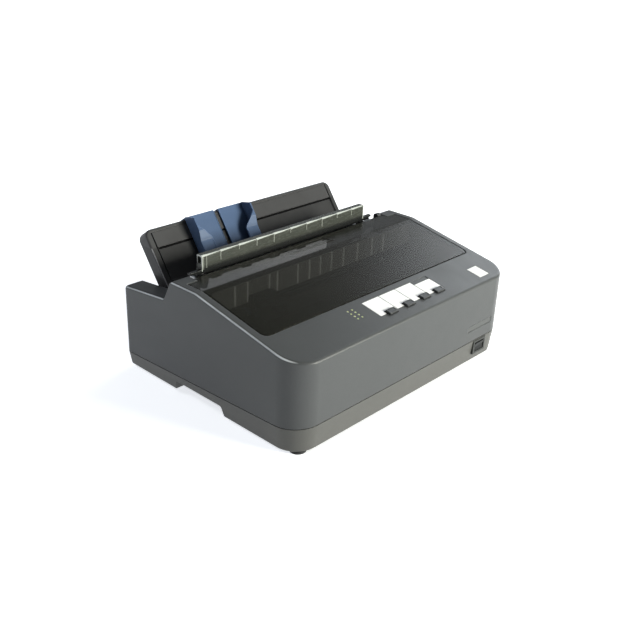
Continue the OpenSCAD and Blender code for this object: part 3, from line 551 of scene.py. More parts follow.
# the paper guide and the edge guides also get a painted highlight on their side edges (rim)
M_GUIDE = plastic("guide_plastic", (0.035, 0.035, 0.0365), 0.36, 1.0, 0.6, 0.05, 0.9, 0.7, 0.2, rim=(0, -0.81, 0.59, 8.0), wear_and_highlight_gain=4.0, above=(0.1402, 1.5))
M_BLUE = plastic("edge_guide_plastic", (0.070, 0.112, 0.205), 0.38, 0.7, 0.6, 0.06, 0.9, 0.8, 0.2, rim=(0, -0.81, 0.59, 2.6), wear_and_highlight_gain=2.8)
M_KEY = plastic("key_plastic", (0.038, 0.040, 0.042), 0.40, 0.8, 0.4, 0.05, 0.5, 0.3, 0.3)
M_BLACK = plastic("black_plastic", (0.017, 0.018, 0.019), 0.42, 0.9, 0.5, 0.08, 0.6, 0.3)
M_ROCK = plastic("rocker_plastic", (0.006, 0.007, 0.0065), 0.36, 0.6, 0.5, 0.08, 0.4, 0.35, 0.15)
M_BEZEL = plastic("bezel_plastic", (0.030, 0.032, 0.030), 0.38, 0.6, 0.5, 0.08, 0.6, 0.35, 0.2)
M_BADGE = plastic("badge_plastic", (0.068, 0.071, 0.071), 0.36, 0.3, 0.5, 0.05, 0.5, 0.3, 0.2)
# near-black plastic for strips and rings that stand in for shade in seams and grooves
M_PAINTED_SHADE = plastic("recess_shadow", (0.004, 0.004, 0.0045), 0.8, 0.5, 0.6, 0.2, 0.0, 0.3, 0.05)
M_LABEL = film("label_film", (0.93, 0.935, 0.93))
M_STICK = film("sticker_film", (0.80, 0.80, 0.79))
M_LAMP = lens("lamp_plastic", (0.50, 0.56, 0.28))
M_RUB = rubber("foot_rubber", (0.022, 0.022, 0.023))
M_PLATEN = rubber("platen_rubber_mat", (0.030, 0.030, 0.030), 0.62)
M_STEEL = metal("zinc_steel", (0.58, 0.59, 0.60), 0.34, (1, 1, 1), 0.08, 0.35)
M_GROUND = metal("ground_steel_mat", (0.66, 0.67, 0.68), 0.18, (0.05, 1, 1), 0.05)
M_BRASS = metal("brass_mat", (0.72, 0.52, 0.20), 0.28, (1, 0.1, 1), 0.07)
M_PORT = metal("port_plating", (0.56, 0.56, 0.54), 0.30, (1, 1, 0.2), 0.08)
M_MOTOR = plastic("motor_paint", (0.028, 0.028, 0.031), 0.36, 1.4, 0.9, 0.1, 0.7, 0.4)
M_TRAFO = plastic("varnish_mat", (0.20, 0.12, 0.045), 0.34, 0.6, 1.2, 0.25, 0.4, 0.4)
M_GEAR = plastic("acetal_mat", (0.70, 0.68, 0.62), 0.40, 0.35, 0.5, 0.03, 0.1, 0.25)
M_LEVER = plastic("lever_plastic", (0.15, 0.25, 0.42), 0.4, 0.6, 0.5, 0.06, 0.4, 0.4)
M_BOARD = board("board_mat")
M_RIBBON = cloth("ribbon_cloth", (0.012, 0.012, 0.014))

SLOT_MAT = {"case_upper": M_UP, "case_lower": M_LOW, "rubber_black": M_RUB, "steel": M_STEEL, "ground_steel": M_GROUND,
            "label_white": M_LABEL, "lamp": M_LAMP, "badge_grey": M_BADGE, "button_grey": M_KEY, "board_green": M_BOARD,
            "black_plastic": M_BLACK, "cover_smoke": M_COVER, "bar_smoke": M_BAR, "guide_grey": M_GUIDE, "guide_blue": M_BLUE,
            "platen_rubber": M_PLATEN, "gear_white": M_GEAR, "brass": M_BRASS, "ribbon_black": M_RIBBON, "port_metal": M_PORT,
            "transformer": M_TRAFO, "motor_black": M_MOTOR, "lever_blue": M_LEVER}
for sp in frame["record"]["subparts"]:
    ob = NODES[sp["node"]]
    mt = SLOT_MAT[sp["material_slot"]]
    if not ob.material_slots:
        ob.data.materials.append(mt)
    for sl in ob.material_slots:
        sl.material = mt


# ------------------------------------------------------------- case profile
def open_fillet(pts, seg=10):
    out = [(pts[0][0], pts[0][1])]
    for i in range(1, len(pts) - 1):
        a, b, c = Vector(pts[i - 1][:2]), Vector(pts[i][:2]), Vector(pts[i + 1][:2])
        r = pts[i][2]
        d0, d1 = (b - a).normalized(), (c - b).normalized()
        cross = d0.x * d1.y - d0.y * d1.x
        ang = math.acos(max(-1, min(1, d0.dot(d1))))
        s = 1 if cross > 0 else -1
        n0 = Vector((-d0.y, d0.x)) * s
        t = r * math.tan(ang / 2)
        cen = b - d0 * t + n0 * r
        for k in range(seg + 1):
            w = s * ang * k / seg
            e = Matrix.Rotation(w, 2) @ (-n0)
            q = cen + e * r
            out.append((q.x, q.y))
    out.append((pts[-1][0], pts[-1][1]))
    return out


def offset_line(pts, d):
    """Moves an open line (y, z, r) downwards by d, measured square to it."""
    res = []
    segs = []
    for a, b in zip(pts, pts[1:]):
        v = (Vector(b[:2]) - Vector(a[:2])).normalized()
        nrm = Vector((v.y, -v.x))
        segs.append((Vector(a[:2]) + nrm * d, v))
    res.append((*segs[0][0], 0))
    for i in range(1, len(segs)):
        (p0, v0), (p1, v1) = segs[i - 1], segs[i]
        den = v0.x * v1.y - v0.y * v1.x
        w = p1 - p0
        t = (w.x * v1.y - w.y * v1.x) / den
        q = p0 + v0 * t
        r = pts[i][2]
        r = r + d if den > 0 else max(0.5, r - d)
        res.append((q.x, q.y, r))
    last = Vector(pts[-1][:2])
    res.append((*(last + Vector((segs[-1][1].y, -segs[-1][1].x)) * d), 0))
    return res


TOP = [(-80, 103.7 - 80 * (133 - 103.7) / 147.73, 0), (147.73, 133, 26), (188.5, 133, 5), (200.5, 109.3, 4), (355, 101.4 - 80 * 7.9 / 74.5, 0)]


def profile(d=0.0, seg=10):
    pts = open_fillet(offset_line(TOP, d) if d else TOP, seg)
    ys = np.array([p[0] for p in pts])
    zs = np.array([p[1] for p in pts])
    return ys, zs


PY, PZ = profile()


def Hz(y):
    return float(np.interp(y, PY, PZ))


def half_plan(i, rf, rr, ys, nf=20, nr=10):
    """Right half of the case outline, front to rear, moved in by i: points, inward steps, and a corner parameter."""
    w, y1 = HW - i, CD - i
    out = []
    for k in range(nf + 1):
        a = -math.pi / 2 + math.pi / 2 * k / nf
        out.append((w - rf + rf * math.cos(a), i + rf + rf * math.sin(a), -math.cos(a), -math.sin(a), "f", k / nf))
    for y in ys:
        if i + rf + 0.4 < y < y1 - rr - 0.4:
            out.append((w, y, -1.0, 0.0, "s", 0.0))
    for k in range(nr + 1):
        a = math.pi / 2 * k / nr
        out.append((w - rr + rr * math.cos(a), y1 - rr + rr * math.sin(a), -math.cos(a), -math.sin(a), "r", k / nr))
    return out


def ring_solid(name, half, rows):
    """half: right-hand outline. rows: from bottom to top, functions of an outline point giving (inset, z)."""
    n = len(half)
    verts = []
    for row in rows:
        right = []
        for p in half:
            d, z = row(p)
            right.append((p[0] + p[2] * d, p[1] + p[3] * d, z))
        verts += right + [(-x, y, z) for x, y, z in reversed(right)]
    m = 2 * n
    faces = []
    for k in range(len(rows) - 1):
        for i in range(m):
            j = (i + 1) % m
            faces.append((k * m + i, k * m + j, (k + 1) * m + j, (k + 1) * m + i))
    b = (len(rows) - 1) * m
    for i in range(n - 1):
        faces.append((i + 1, i, m - 1 - i, m - 2 - i))
        faces.append((b + i, b + i + 1, b + m - 2 - i, b + m - 1 - i))
    return mesh_object(name, verts, faces)


def smooth01(t):
    return t * t * (3 - 2 * t)


def edge_r(p, front=3.2, side=2.9, rear=6.0, less=0.0):
    if p[4] == "f":
        r = front + (side - front) * smooth01(p[5])
    elif p[4] == "r":
        r = side + (rear - side) * smooth01(p[5])
    else:
        r = side
    return max(0.8, r - less)


side_ys = sorted(set([round(float(y), 3) for y in PY if 31 < y < 266] + [float(y) for y in range(36, 266, 6)]))


def top_rows(hz, less, seg=8):
    rows = []
    for k in range(seg + 1):
        a = k / seg * math.pi / 2

        def row(p, a=a):
            r = edge_r(p, less=less)
            d = r * (1 - math.cos(a))
            y = p[1] + p[3] * d
            return d, hz(y) - r * (1 - math.sin(a))
        rows.append(row)
    return rows


def cover_outline(g=0.0, rear=None):
    w, y0 = 170.9 + g, 54.8 - g
    y1 = rear if rear is not None else (169.5 + (g + 1.6 if g > 0 else g))
    return [(w, y1, 0), (-w, y1, 0), (-w, y0, 8 + g), (w, y0, 8 + g)]


def build_upper():
    half = half_plan(0, 30, 8, side_ys)
    shell = ring_solid("case_upper_shell", half, [lambda p: (0, split_z(p[1]) + 0.45)] + top_rows(Hz, 0.0))
    iy, iz = profile(2.5)
    hin = lambda y: float(np.interp(y, iy, iz))
    half_in = half_plan(2.5, 27.5, 5.5, side_ys)
    cav = ring_solid("cav", half_in, [lambda p: (0, -20.0)] + top_rows(hin, 2.5))
    outer = copy_of(shell, "outer_copy")
    cut(shell, cav)
    cut(shell, slab("c", cover_outline(0.9), 90, 190), block("c", -157.3, 157.3, 172, CD + 1, 60, 200))
    # inner walls of the arms, following the outline of the arm
    top = [(y, z) for y, z in zip(PY, PZ) if 184 < y < 268]
    arm = [(184, 40), (274, 40), (274, 99.0), (272, 100.6), (268, Hz(268) - 0.4)] + [(y, z - 0.05) for y, z in reversed(top)] + [(184, Hz(184) - 0.05)]
    for s in (-1, 1):
        x0, x1 = (157.3, 159.8) if s > 0 else (-159.8, -157.3)
        add(shell, xprism("a", [(y, z, 0) for y, z in arm], x0, x1))
        x0, x1 = (171.8, 176) if s > 0 else (-176, -171.8)
        add(shell, block("a", x0, x1, 164.5, 173.5, 124, 132.5))
    shelf = slab("shelf", cover_outline(1.9), 80, 140)
    cut(shelf, slab("c", [(165.9, 175, 0), (-165.9, 175, 0), (-165.9, 59.8, 4), (165.9, 59.8, 4)], 70, 150))
    common(shelf, xprism("c", [(50, top_z(50) - 4.9, 0), (144, top_z(144) - 4.9, 0), (144, top_z(144) - 2.9, 0), (50, top_z(50) - 2.9, 0)], -178.4, 178.4))
    add(shell, shelf)
    add(shell, xcyl("a", 26, 161, 180.4, P, 96))
    for x in (-72, 76):
        for y in (12, 44):
            add(shell, zcyl("a", 2.6, -8, -1.6, x, y, 32, on_slope(0, 0)))
    for x in (-165, 165):
        for y, zt in ((40, top_z(40) - 1.2), (232, 104)):
            add(shell, zcyl("a", 4.5, split_z(y) - 1.7, zt, x, y))
    # stiffening ribs inside the front wall and below the panel
    for x in (-150, -110, -90, 92, 112, 140):
        rib = xprism("a", [(1.5, 60, 0), (4.5, 60, 0), (9, top_z(9) - 8, 0), (48, top_z(48) - 6, 0), (48, top_z(48) - 1.5, 0), (1.5, 97, 0)], x - 0.8, x + 0.8)
        add(shell, common(rib, copy_of(outer, "oc")))
    bpy.data.objects.remove(outer)
    # pocket and holes
    cut(shell, xcyl("c", 24, 163, 182, P, 96), xcyl("c", 5, 150, 170, P))
    for s in (-1, 1):
        cut(shell, xcyl("c", 1.68, 170 if s > 0 else -174.6, 174.6 if s > 0 else -170, H), xcyl("c", 3.06, 156 if s > 0 else -161, 161 if s > 0 else -156, Q))
    for x in (-165, 165):
        for y in (40, 232):
            cut(shell, zcyl("c", 1.3, split_z(y) - 3, split_z(y) + 14, x, y))
    for x in BUTTON_X:
        cut(shell, slab("c", rect(-7.4, 7.4, -4.4, 4.4, 0.8), -6, 6, m=on_slope(x, 18.6)))
    for x, y in LED_POS:
        cut(shell, zcyl("c", 1.3, -6, 6, 0, 0, 24, on_slope(x, y)))
    cut(shell, slab("c", rect(-39, 72.6, 18.8, 47.2, 1.0), -0.5, 3.5, m=on_slope(0, 0)))
    cut(shell, slab("c", rect(0, 18.5, 0, 20.2, 0.8), -0.25, 3, m=on_slope(132, 9.8)))
    cut(shell, slab("c", rect(102.6, 151.4, 45.9, 53.4, 0.8), -0.7, 1, m=MY))
    for x0, x1, z0, z1 in ((-143.7, -116.3, 24.3, 43.7), (20.3, 85.7, 27.3, 40.7), (96.3, 127.7, 28.3, 39.7), (137.3, 149.7, 27.3, 38.7)):
        cut(shell, slab("c", rect(x0, x1, z0, z1, 1.0), -(CD + 1), -(CD - 4), m=MY))
    # cooling slots low in the rear wall
    for i in range(14):
        x = -92 + 7 * i
        cut(shell, slab("c", rect(x - 1.6, x + 1.6, 46, 57, 1.5), -(CD + 1), -(CD - 1.2), m=MY))
    return shell


BUTTON_X = (-21.5, 8.1, 36.2, 62.0)
LED_POS = [(x, 42.8 - 4.8 * r) for r in range(4) for x in (-64.3, -57.6)]


def low_taper(z, zt):
    return 3.0 * (zt - z) / (zt - 3.0)


def build_lower():
    ys = [float(y) for y in range(36, 266, 10)]
    half = half_plan(0, 30, 8, ys)

    def rows(drop, z_floor, r, zt_off):
        out = []
        for k in range(5):
            a = k / 4 * math.pi / 2

            def row(p, a=a):
                z = z_floor + r * (1 - math.cos(a))
                return drop + r * (1 - math.sin(a)) + low_taper(z, split_z(p[1]) - 0.3), z
            out.append(row)
        out.append(lambda p: (drop, split_z(p[1]) + zt_off))
        return out
    shell = ring_solid("case_lower_shell", half, rows(0.0, 3.0, 2.6, -0.45))
    outer = copy_of(shell, "outer_copy")
    cav = ring_solid("cav", half, rows(2.5, 5.5, 1.2, 30.0))
    cut(shell, cav)
    # locating lip
    lip = ring_solid("lip", half, [lambda p: (2.65, split_z(p[1]) - 6), lambda p: (2.65, split_z(p[1]) + 2.5)])
    cut(lip, ring_solid("c", half, [lambda p: (3.9, split_z(p[1]) - 9), lambda p: (3.9, split_z(p[1]) + 6)]))
    ring = ring_solid("ring", half, [lambda p: (2.2, split_z(p[1]) - 5), lambda p: (2.2, split_z(p[1]) - 0.3)])
    cut(ring, ring_solid("c", half, [lambda p: (3.9, split_z(p[1]) - 9), lambda p: (3.9, split_z(p[1]) + 6)]))
    add(shell, ring, lip)
    for s in (-1, 1):
        hb = block("hb", 156 if s > 0 else -180.9, 180.9 if s > 0 else -156, 101.0, 195.0, 3.0, 18.2)
        add(shell, common(hb, copy_of(outer, "oc")))
    bpy.data.objects.remove(outer)
    for x in (-165, 165):
        for y in (40, 232):
            add(shell, zcyl("a", 5, 3.6, split_z(y) - 2, x, y))
    for x in (-134, 134):
        for y in (102, 228):
            add(shell, zcyl("a", 6, 3.6, 20, x, y))
    for xs in ((-52, 142), (-142, -78)):
        for x in xs:
            for y in (18, 80):
                add(shell, zcyl("a", 3.5, 3.6, 12, x, y))
    for x in (-100, 0, 100):
        add(shell, block("a", x - 1, x + 1, 90, 94, 3.6, 14))
    # hand grips with sloping ends
    for s in (-1, 1):
        g = slab("c", [(103.5, -1, 0), (192.5, -1, 0), (188.5, 4, 1), (184.5, 15.7, 3), (111.5, 15.7, 3), (107.5, 4, 1)], 158.5 if s > 0 else -182, 182 if s > 0 else -158.5, m=MX)
        cut(shell, g)
    for x in (-165, 165):
        for y in (40, 232):
            cut(shell, zcyl("c", 1.7, 0, 40, x, y), zcyl("c", 3.6, 0, 7, x, y))
    for x in (-134, 134):
        for y in (102, 228):
            cut(shell, zcyl("c", 1.3, 10, 21, x, y))
    for x, y in FEET:
        cut(shell, zcyl("c", 7.1, 0, 4, x, y, 48))
    cut(shell, slab("c", rect(119.6, 141.4, 14.6, 28.9, 0.5), -9, 3, m=MY))
    for i in range(9):
        cut(shell, slab("c", rect(-63 + 15 * i, -57 + 15 * i, 200, 240, 2.5), 0, 8))
    return shell


# near-black ring in the seam between the shells: painted shade, no real part
def build_seam_shade():
    half = half_plan(0, 30, 8, [float(y) for y in range(36, 266, 10)])
    ring = ring_solid("seam_painted_shade", half, [lambda p: (0.8, split_z(p[1]) - 0.6), lambda p: (0.8, split_z(p[1]) + 0.6)])
    return cut(ring, ring_solid("c", half, [lambda p: (2.1, split_z(p[1]) - 3), lambda p: (2.1, split_z(p[1]) + 3)]))


FEET = [(-161.5, 16), (161.5, 16), (-160, 250), (160, 250)]

place(build_upper(), M_UP, "case", "upper_case", 30)
place(build_lower(), M_LOW, "case", "lower_case", 30)
place(build_seam_shade(), M_PAINTED_SHADE, "case")


# -------------------------------------------------------------------- cover
def cover_half():
    """Right half of the cover outline, front to rear."""
    out = []
    for k in range(13):
        a = -math.pi / 2 + math.pi / 2 * k / 12
        out.append((162.9 + 8 * math.cos(a), 62.8 + 8 * math.sin(a), -math.cos(a), -math.sin(a), "s", 0))
    ys = sorted(set([round(float(y), 3) for y in PY if 64 < y < 166] + [float(y) for y in range(66, 166, 6)]))
    for y in ys:
        out.append((170.9, y, -1.0, 0.0, "s", 0))
    for k in range(7):
        a = math.pi / 2 * k / 6 * 0.985
        out.append((169.4 + 1.5 * math.cos(a), 168.0 + 1.5 * math.sin(a), -math.cos(a), -math.sin(a), "s", 0))
    return out


def cover_rows(t, r, seg=3):
    rows = []
    for k in range(seg + 1):
        a = k / seg * math.pi / 2
        d, u = 0.5 * (1 - math.sin(a)), 0.5 * (1 - math.cos(a))
        rows.append(lambda p, d=d, u=u: (d, Hz(p[1] + p[3] * d) - t + u))
    for k in range(seg + 1):
        a = k / seg * math.pi / 2
        d, u = r * (1 - math.cos(a)), r * (1 - math.sin(a))
        rows.append(lambda p, d=d, u=u: (d, Hz(p[1] + p[3] * d) - u))
    return rows


def build_cover():
    o = ring_solid("printer_cover_panel", cover_half(), cover_rows(2.4, 1.0))
    rear = ring_solid("rear", [(156.3, 160.0, -1, 0, "s", 0), (156.3, 165.0, -1, 0, "s", 0), (156.3, 172.0, -1, 0, "s", 0), (156.3, 177.9, -1, 0, "s", 0),
                               (155.9, 178.7, -0.7, -0.7, "s", 0), (155.2, 179.0, 0, -1, "s", 0)], cover_rows(2.4, 0.8))
    add(o, rear)
    for s in (-1, 1):
        ear = xcyl("e", 2.5, 167.9 if s > 0 else -170.9, 170.9 if s > 0 else -167.9, H, 32)
        cut(ear, block("c", -175, 175, 160, 180, 132.95, 140))
        add(o, ear, xcyl("e", 1.6, 169.9 if s > 0 else -174.3, 174.3 if s > 0 else -169.9, H, 32))
    # raised finger tab with a shallow dish
    tab = slab("tab", [(-31.5, 158.4, 1.5), (41.5, 158.4, 1.5), (38.0, 174.6, 1.5), (-28.0, 174.6, 1.5)], 131.6, 133.8, 0.0, 0.6, 3)
    add(o, tab)
    cut(o, slab("dish", [(-25.5, 161.0, 1.2), (37.0, 161.0, 1.2), (34.5, 172.2, 1.2), (-23.5, 172.2, 1.2)], 133.15, 136))
    return o


COVER = place(build_cover(), M_COVER, "cover", "printer_cover", 30)

# ribbed wall hanging below the bend of the cover; ribs and wall carry a painted glow so they show through the smoked
# cover
rib_parts = [slab("r", [(139.3, 106.4, 0.5), (140.9, 105.4, 0.5), (140.9, 129.2, 0), (139.3, 128.9, 0)], x - 0.65, x + 0.65, 0.2, 0.2, 2, MX)
             for x in (-133, -115, -83, -71, -39, -20, -2, 17, 38, 63, 90, 111)]
wall = slab("w", [(140.9, 104.8, 0.4), (141.9, 104.8, 0.4), (141.9, 129.4, 0), (140.9, 129.2, 0)], -163, 163, 0.4, 0.4, 2, MX)


def joined(parts, name, index=None):
    """One object from closed parts; index gives each part's material number."""
    verts, faces, mats, off = [], [], [], 0
    for k, o in enumerate(parts):
        verts += [tuple(v.co) for v in o.data.vertices]
        faces += [tuple(i + off for i in p.vertices) for p in o.data.polygons]
        mats += [index[k] if index else 0] * len(o.data.polygons)
        off = len(verts)
    me = bpy.data.meshes.new(name)
    me.from_pydata(verts, [], faces)
    me.update()
    for p, m in zip(me.polygons, mats):
        p.material_index = m
    for o in parts:
        bpy.data.objects.remove(o)
    q = bpy.data.objects.new(name, me)
    bpy.context.scene.collection.objects.link(q)
    return q


place(joined(rib_parts, "cover_ribs"), M_COVRIB, "cover")
place(wall, M_COVWALL, "cover")


# -------------------------------------------------------------- tension bar
def build_bar():
    parts, idx = [], []

    def put(o, k=0):
        parts.append(o)
        idx.append(k)
    put(slab("p", [(190.15, 128.0, 0.5), (191.6, 128.0, 0.5), (191.6, 147.8, 0), (190.15, 147.8, 0)], -136, 130, 0.4, 0.4, 2, MX))
    # wings over the slot beside the bar
    for x0, x1, z0 in ((-142.5, -135, 128), (-152, -142, 130.4), (129, 142.5, 128), (142, 146, 130.4)):
        put(slab("w", rect(190.5, 195, z0, 133, 0.4), x0, x1, 0.3, 0.3, 2, MX))
    put(slab("p", [(196.8, 134.0, 0.5), (198.4, 134.0, 0.5), (198.4, 147.8, 0), (196.8, 147.8, 0)], -136, 130, 0.4, 0.4, 2, MX))
    for i in range(9):
        x = -109 + 27 * i
        put(slab("p", [(191.5, 130.5, 0.5), (196.9, 134.5, 0.5), (196.9, 147.8, 0), (191.5, 147.8, 0)], x - 0.6, x + 0.6, 0.2, 0.2, 2, MX), 1)
        # rib end showing through the face
        put(slab("e", rect(190.0, 190.3, 138.5 + 2.5 * ((i * 5) % 3), 147.6, 0.1), x - 0.35, x + 0.35, 0.08, 0.08, 1, MX), 2)
    for x, z0 in ((-133.6, 133.0), (-129.2, 134.0)):
        put(slab("e", rect(190.0, 190.3, z0, 147.6, 0.1), x - 0.3, x + 0.3, 0.08, 0.08, 1, MX), 2)
    # top strip in bays between the ribs, each with a wedge-shaped edge that gets a painted highlight
    edges = [-136.0] + [-109 + 27.0 * i for i in range(9)] + [130.0]
    for x0, x1 in zip(edges, edges[1:]):
        full = (x1 - x0) / 27.0
        sect = []
        for x, c in ((x0 + 0.25, 1.5), (x1 - 0.25, 1.5 - 1.15 * min(1, full))):
            sect.append([(x, 190.0, 147.6), (x, 190.0, 149.3 - c), (x, 190.0 + c * 1.3, 149.3), (x, 198.0, 149.3), (x, 198.4, 148.9), (x, 198.4, 147.6)])
        v = sect[0] + sect[1]
        f = [(i, (i + 1) % 6, 6 + (i + 1) % 6, 6 + i) for i in range(6)] + [tuple(range(5, -1, -1)), tuple(range(6, 12))]
        put(mesh_object("t", v, [tuple(reversed(q)) for q in f]))
    n0 = len(parts)
    for x in (-136, 126):
        arm = [(184, 119, 2), (187, 111.5, 3), (197, 111.5, 4), (198.4, 120, 2), (198.4, 139.5, 1), (190.5, 139.5, 0), (190.5, 128.5, 1), (184, 128.5, 2)]
        put(cut(slab("a", arm, x, x + 4, 0.4, 0.4, 2, MX), xcyl("c", 1.56, x - 1, x + 5, V, 24)))
    put(xcyl("s", 2.5, -145.6, -135, U, 32, 0.4))
    put(xcyl("s", 2.5, 129, 145.6, U, 32, 0.4))
    # frame round the open ends
    for x in (-136, 129):
        fr = slab("f", rect(190.05, 198.4, 131.2, 149.2, 0.4), x, x + 1.0, 0.2, 0.2, 2, MX)
        put(cut(fr, slab("c", rect(191.5, 197.0, 132.6, 147.8, 0.4), x - 1, x + 2, m=MX)), 1)
    o = joined(parts, "tension_bar_channel", idx)
    # faces at the top that look forward and up get the painted highlight material
    for p in o.data.polygons:
        nrm = p.normal
        if nrm.y < -0.3 and nrm.z > 0.3 and p.center.z > 0.1472:
            p.material_index = 1
    return o


BAR = build_bar()
soften(BAR, 30)
BAR.data.materials.append(M_BAR)
BAR.data.materials.append(M_BAR_PAINTED_HIGHLIGHT)
BAR.data.materials.append(M_BARTICK)
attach(BAR, "tension_bar")
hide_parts("tension_unit")


# -------------------------------------------------------------- paper guide
def guide_outline(i=0.0, r=9.0, y0=-4.0, y1=64.9, w=150.0):
    return [(-w + i, y0 + i, 1.5), (w - i, y0 + i, 1.5), (w - i, y1 - i, r - i if r > i else 0.5), (-w + i, y1 - i, r - i if r > i else 0.5)]


def build_guide():
    o = slab("paper_guide_panel", guide_outline(), -17, 0, 1.2, 2.2, 4, GUIDE, 10)
    cut(o, slab("c", guide_outline(2.2), -18, -2.6, 0, 0.8, 2, GUIDE, 8))
    # sunk field with a step line across it
    cut(o, slab("c", rect(-141, 141, 3, 41, 1.5), -0.9, 2, m=GUIDE))
    cut(o, slab("c", rect(-141, 141, 39.9, 42.5, 0.3), -2.0, 2, m=GUIDE))
    for s in (-1, 1):
        cut(o, slab("c", rect(s * 142.2 - 0.8, s * 142.2 + 0.8, 3, 60.5, 0.3), -1.8, 2, m=GUIDE))
    cut(o, slab("c", rect(-141.7, 141.7, 60.0, 60.9, 0.3), -0.5, 2, m=GUIDE))
    for i in range(7):
        add(o, slab("r", rect(-120.8 + 40 * i, -119.2 + 40 * i, -2.5, 63.2), -12, -2.0, 0.3, 0, 2, GUIDE))
    add(o, slab("r", rect(-148, 148, 30, 31.6), -10, -2.0, 0.3, 0, 2, GUIDE))
    gp = GUIDE.inverted() @ Vector((0, Q[0], Q[1]))
    for s in (-1, 1):
        m = GUIDE @ MX
        add(o, slab("e", circle(gp.y, gp.z, 5.5, 36), 145 if s > 0 else -150, 150 if s > 0 else -145, 0.4, 0.4, 2, m))
        add(o, slab("e", circle(gp.y, gp.z, 3.0, 28), 149.4 if s > 0 else -159.4, 159.4 if s > 0 else -149.4, 0.4, 0.4, 2, m))
    return o


place(build_guide(), M_GUIDE, "guide", "paper_guide", 30)
place(slab("guide_groove_shadow", rect(-140.9, 140.9, 40.0, 42.4, 0.2), -2.1, -1.7, 0, 0.1, 1, GUIDE), M_PAINTED_SHADE, "guide")


def build_edge(name, x0, x1, s):
    """Plate over the guide with an outer fence, a hook over the top edge and a curved lip."""
    m = GUIDE @ MX
    plate = slab(name, rect(x0, x1, 6, 66.4, 0.6), 0.3, 1.9, 0.25, 0.5, 2, GUIDE)
    add(plate, slab("t", [(65.2, -18.5, 0.4), (66.8, -18.5, 0.4), (66.8, 1.9, 1.2), (65.2, 1.9, 0)], x0, x1, 0.4, 0.4, 2, m))
    add(plate, slab("l", rect(x0 + 4, x1 - 4, 56.9, 66.8, 0.8), -18.9, -17.3, 0.3, 0.3, 2, GUIDE))
    f0, f1 = (x0, x0 + 1.8) if s < 0 else (x1 - 1.8, x1)
    add(plate, slab("f", [(6, 0.3, 0.4), (66.8, 0.3, 0.2), (66.8, 2.4, 1.5), (60.4, 16.8, 2.0), (44, 16.8, 2.0), (33, 12.4, 2.0), (6, 12.4, 0.4)], f0, f1, 0.35, 0.35, 2, m))
    # lip folded inwards over the paper, stepping down towards the lower end
    e = x0 if s < 0 else x1
    q = [(0.4, 6.1), (18, 6.1), (18, 30.5)]
    for k in range(1, 9):
        a = math.radians(44.6) * k / 8
        q.append((10 + 8 * math.cos(a), 30.5 + 8 * math.sin(a)))
    q.append((0.4, 51.6))
    pts = [(e - s * u, v, 0) for u, v in q]
    if s > 0:
        pts = pts[::-1]
    lip = slab("lip", pts, 0.0, 20.0, 0, 0, 1, GUIDE, 8)
    step = [(0, 10.8, 0), (33.3, 10.8, 4), (44.3, 15.2, 4), (60, 15.2, 0), (60, 16.8, 0), (44, 16.8, 4), (33, 12.4, 4), (0, 12.4, 0)]
    common(lip, slab("c", step, min(x0, x1) - 5, max(x0, x1) + 5, 0, 0, 1, m, 6))
    add(plate, lip)
    # raised bead round the free edge of the lip
    bead = [(e - s * u, v, 0) for u, v in ((16.9, 6.1), (18, 6.1), (18, 30.5), (16.9, 30.5))]
    if s > 0:
        bead = bead[::-1]
    add(plate, slab("b", bead, 12.2, 12.9, 0, 0.3, 2, GUIDE))
    # thin bead along the inner edge of the plate
    bx = (x1 - 0.9, x1 - 0.1) if s < 0 else (x0 + 0.1, x0 + 0.9)
    add(plate, slab("b", rect(bx[0], bx[1], 7, 65, 0.3), 1.5, 2.3, 0, 0.3, 2, GUIDE))
    return plate


place(build_edge("left_edge_guide_plate", -92.2, -49.5, -1), M_BLUE, "left_edge_guide", "edge_guide_left", 30)
place(build_edge("right_edge_guide_plate", -43.0, -3.9, 1), M_BLUE, "right_edge_guide", "edge_guide_right", 30)


# ------------------------------------------------------------ control panel
def build_key(name, x):
    m = on_slope(x, 18.6)
    o = slab(name, rect(-7, 7, -4, 4, 1.0), -5.2, 2.2, 0.2, 0.9, 4, m, 6)
    add(o, slab("f", rect(-8.2, 8.2, -5, 5, 0.8), -4.1, -3.1, 0.2, 0.2, 2, m))
    # shallow finger dish
    cut(o, slab("c", [(a, b, 0) for a, b in zip((-4.6, 4.6, 4.6, -4.6), (-2.1, -2.1, 2.1, 2.1))], 1.95, 3, m=m))
    return o


for nm, body, x in (("pause_button", "pause_key", BUTTON_X[0]), ("tear_off_button", "tear_off_key", BUTTON_X[1]),
                    ("line_feed_button", "line_feed_key", BUTTON_X[2]), ("font_button", "font_key", BUTTON_X[3])):
    place(build_key(nm + "_cap", x), M_KEY, body, nm, 30)


def build_label():
    """Four blank fields with thin dark joints and notches for the keys, on a dark carrier."""
    cols = ((-38.5, -11.5, 46.2), (-10.5, 16.4, 46.2), (17.4, 43.9, 46.2), (44.9, 72.0, 40.4))
    parts = []
    for x0, x1, y1 in cols:
        o = slab("l", rect(x0, x1, 19.3, y1 + 0.5, 0.5), -0.45, 0.05, 0, 0.05, 1, on_slope(0, 0))
        for x in BUTTON_X:
            if x0 - 7 < x < x1 + 7:
                cut(o, slab("c", rect(x - 7.6, x + 7.6, 0, 23.8, 0.4), -1, 2, m=on_slope(0, 0)))
        parts.append(o)
    return joined(parts, "panel_label_fields")


LABEL = place(build_label(), M_LABEL, "case", "panel_label")
LAMPS = place(joined([zcyl("l", 1.15, -6.2, 0.3, 0, 0, 20, on_slope(x, y), 0.45) for x, y in LED_POS], "status_light_pipes"), M_LAMP, "case", "status_lights", 40)
place(slab("info_sticker_film", rect(0.4, 18.1, 0.4, 19.8, 0.8), -0.2, 0.1, 0, 0.1, 1, on_slope(132, 9.8)), M_STICK, "case", "info_sticker")


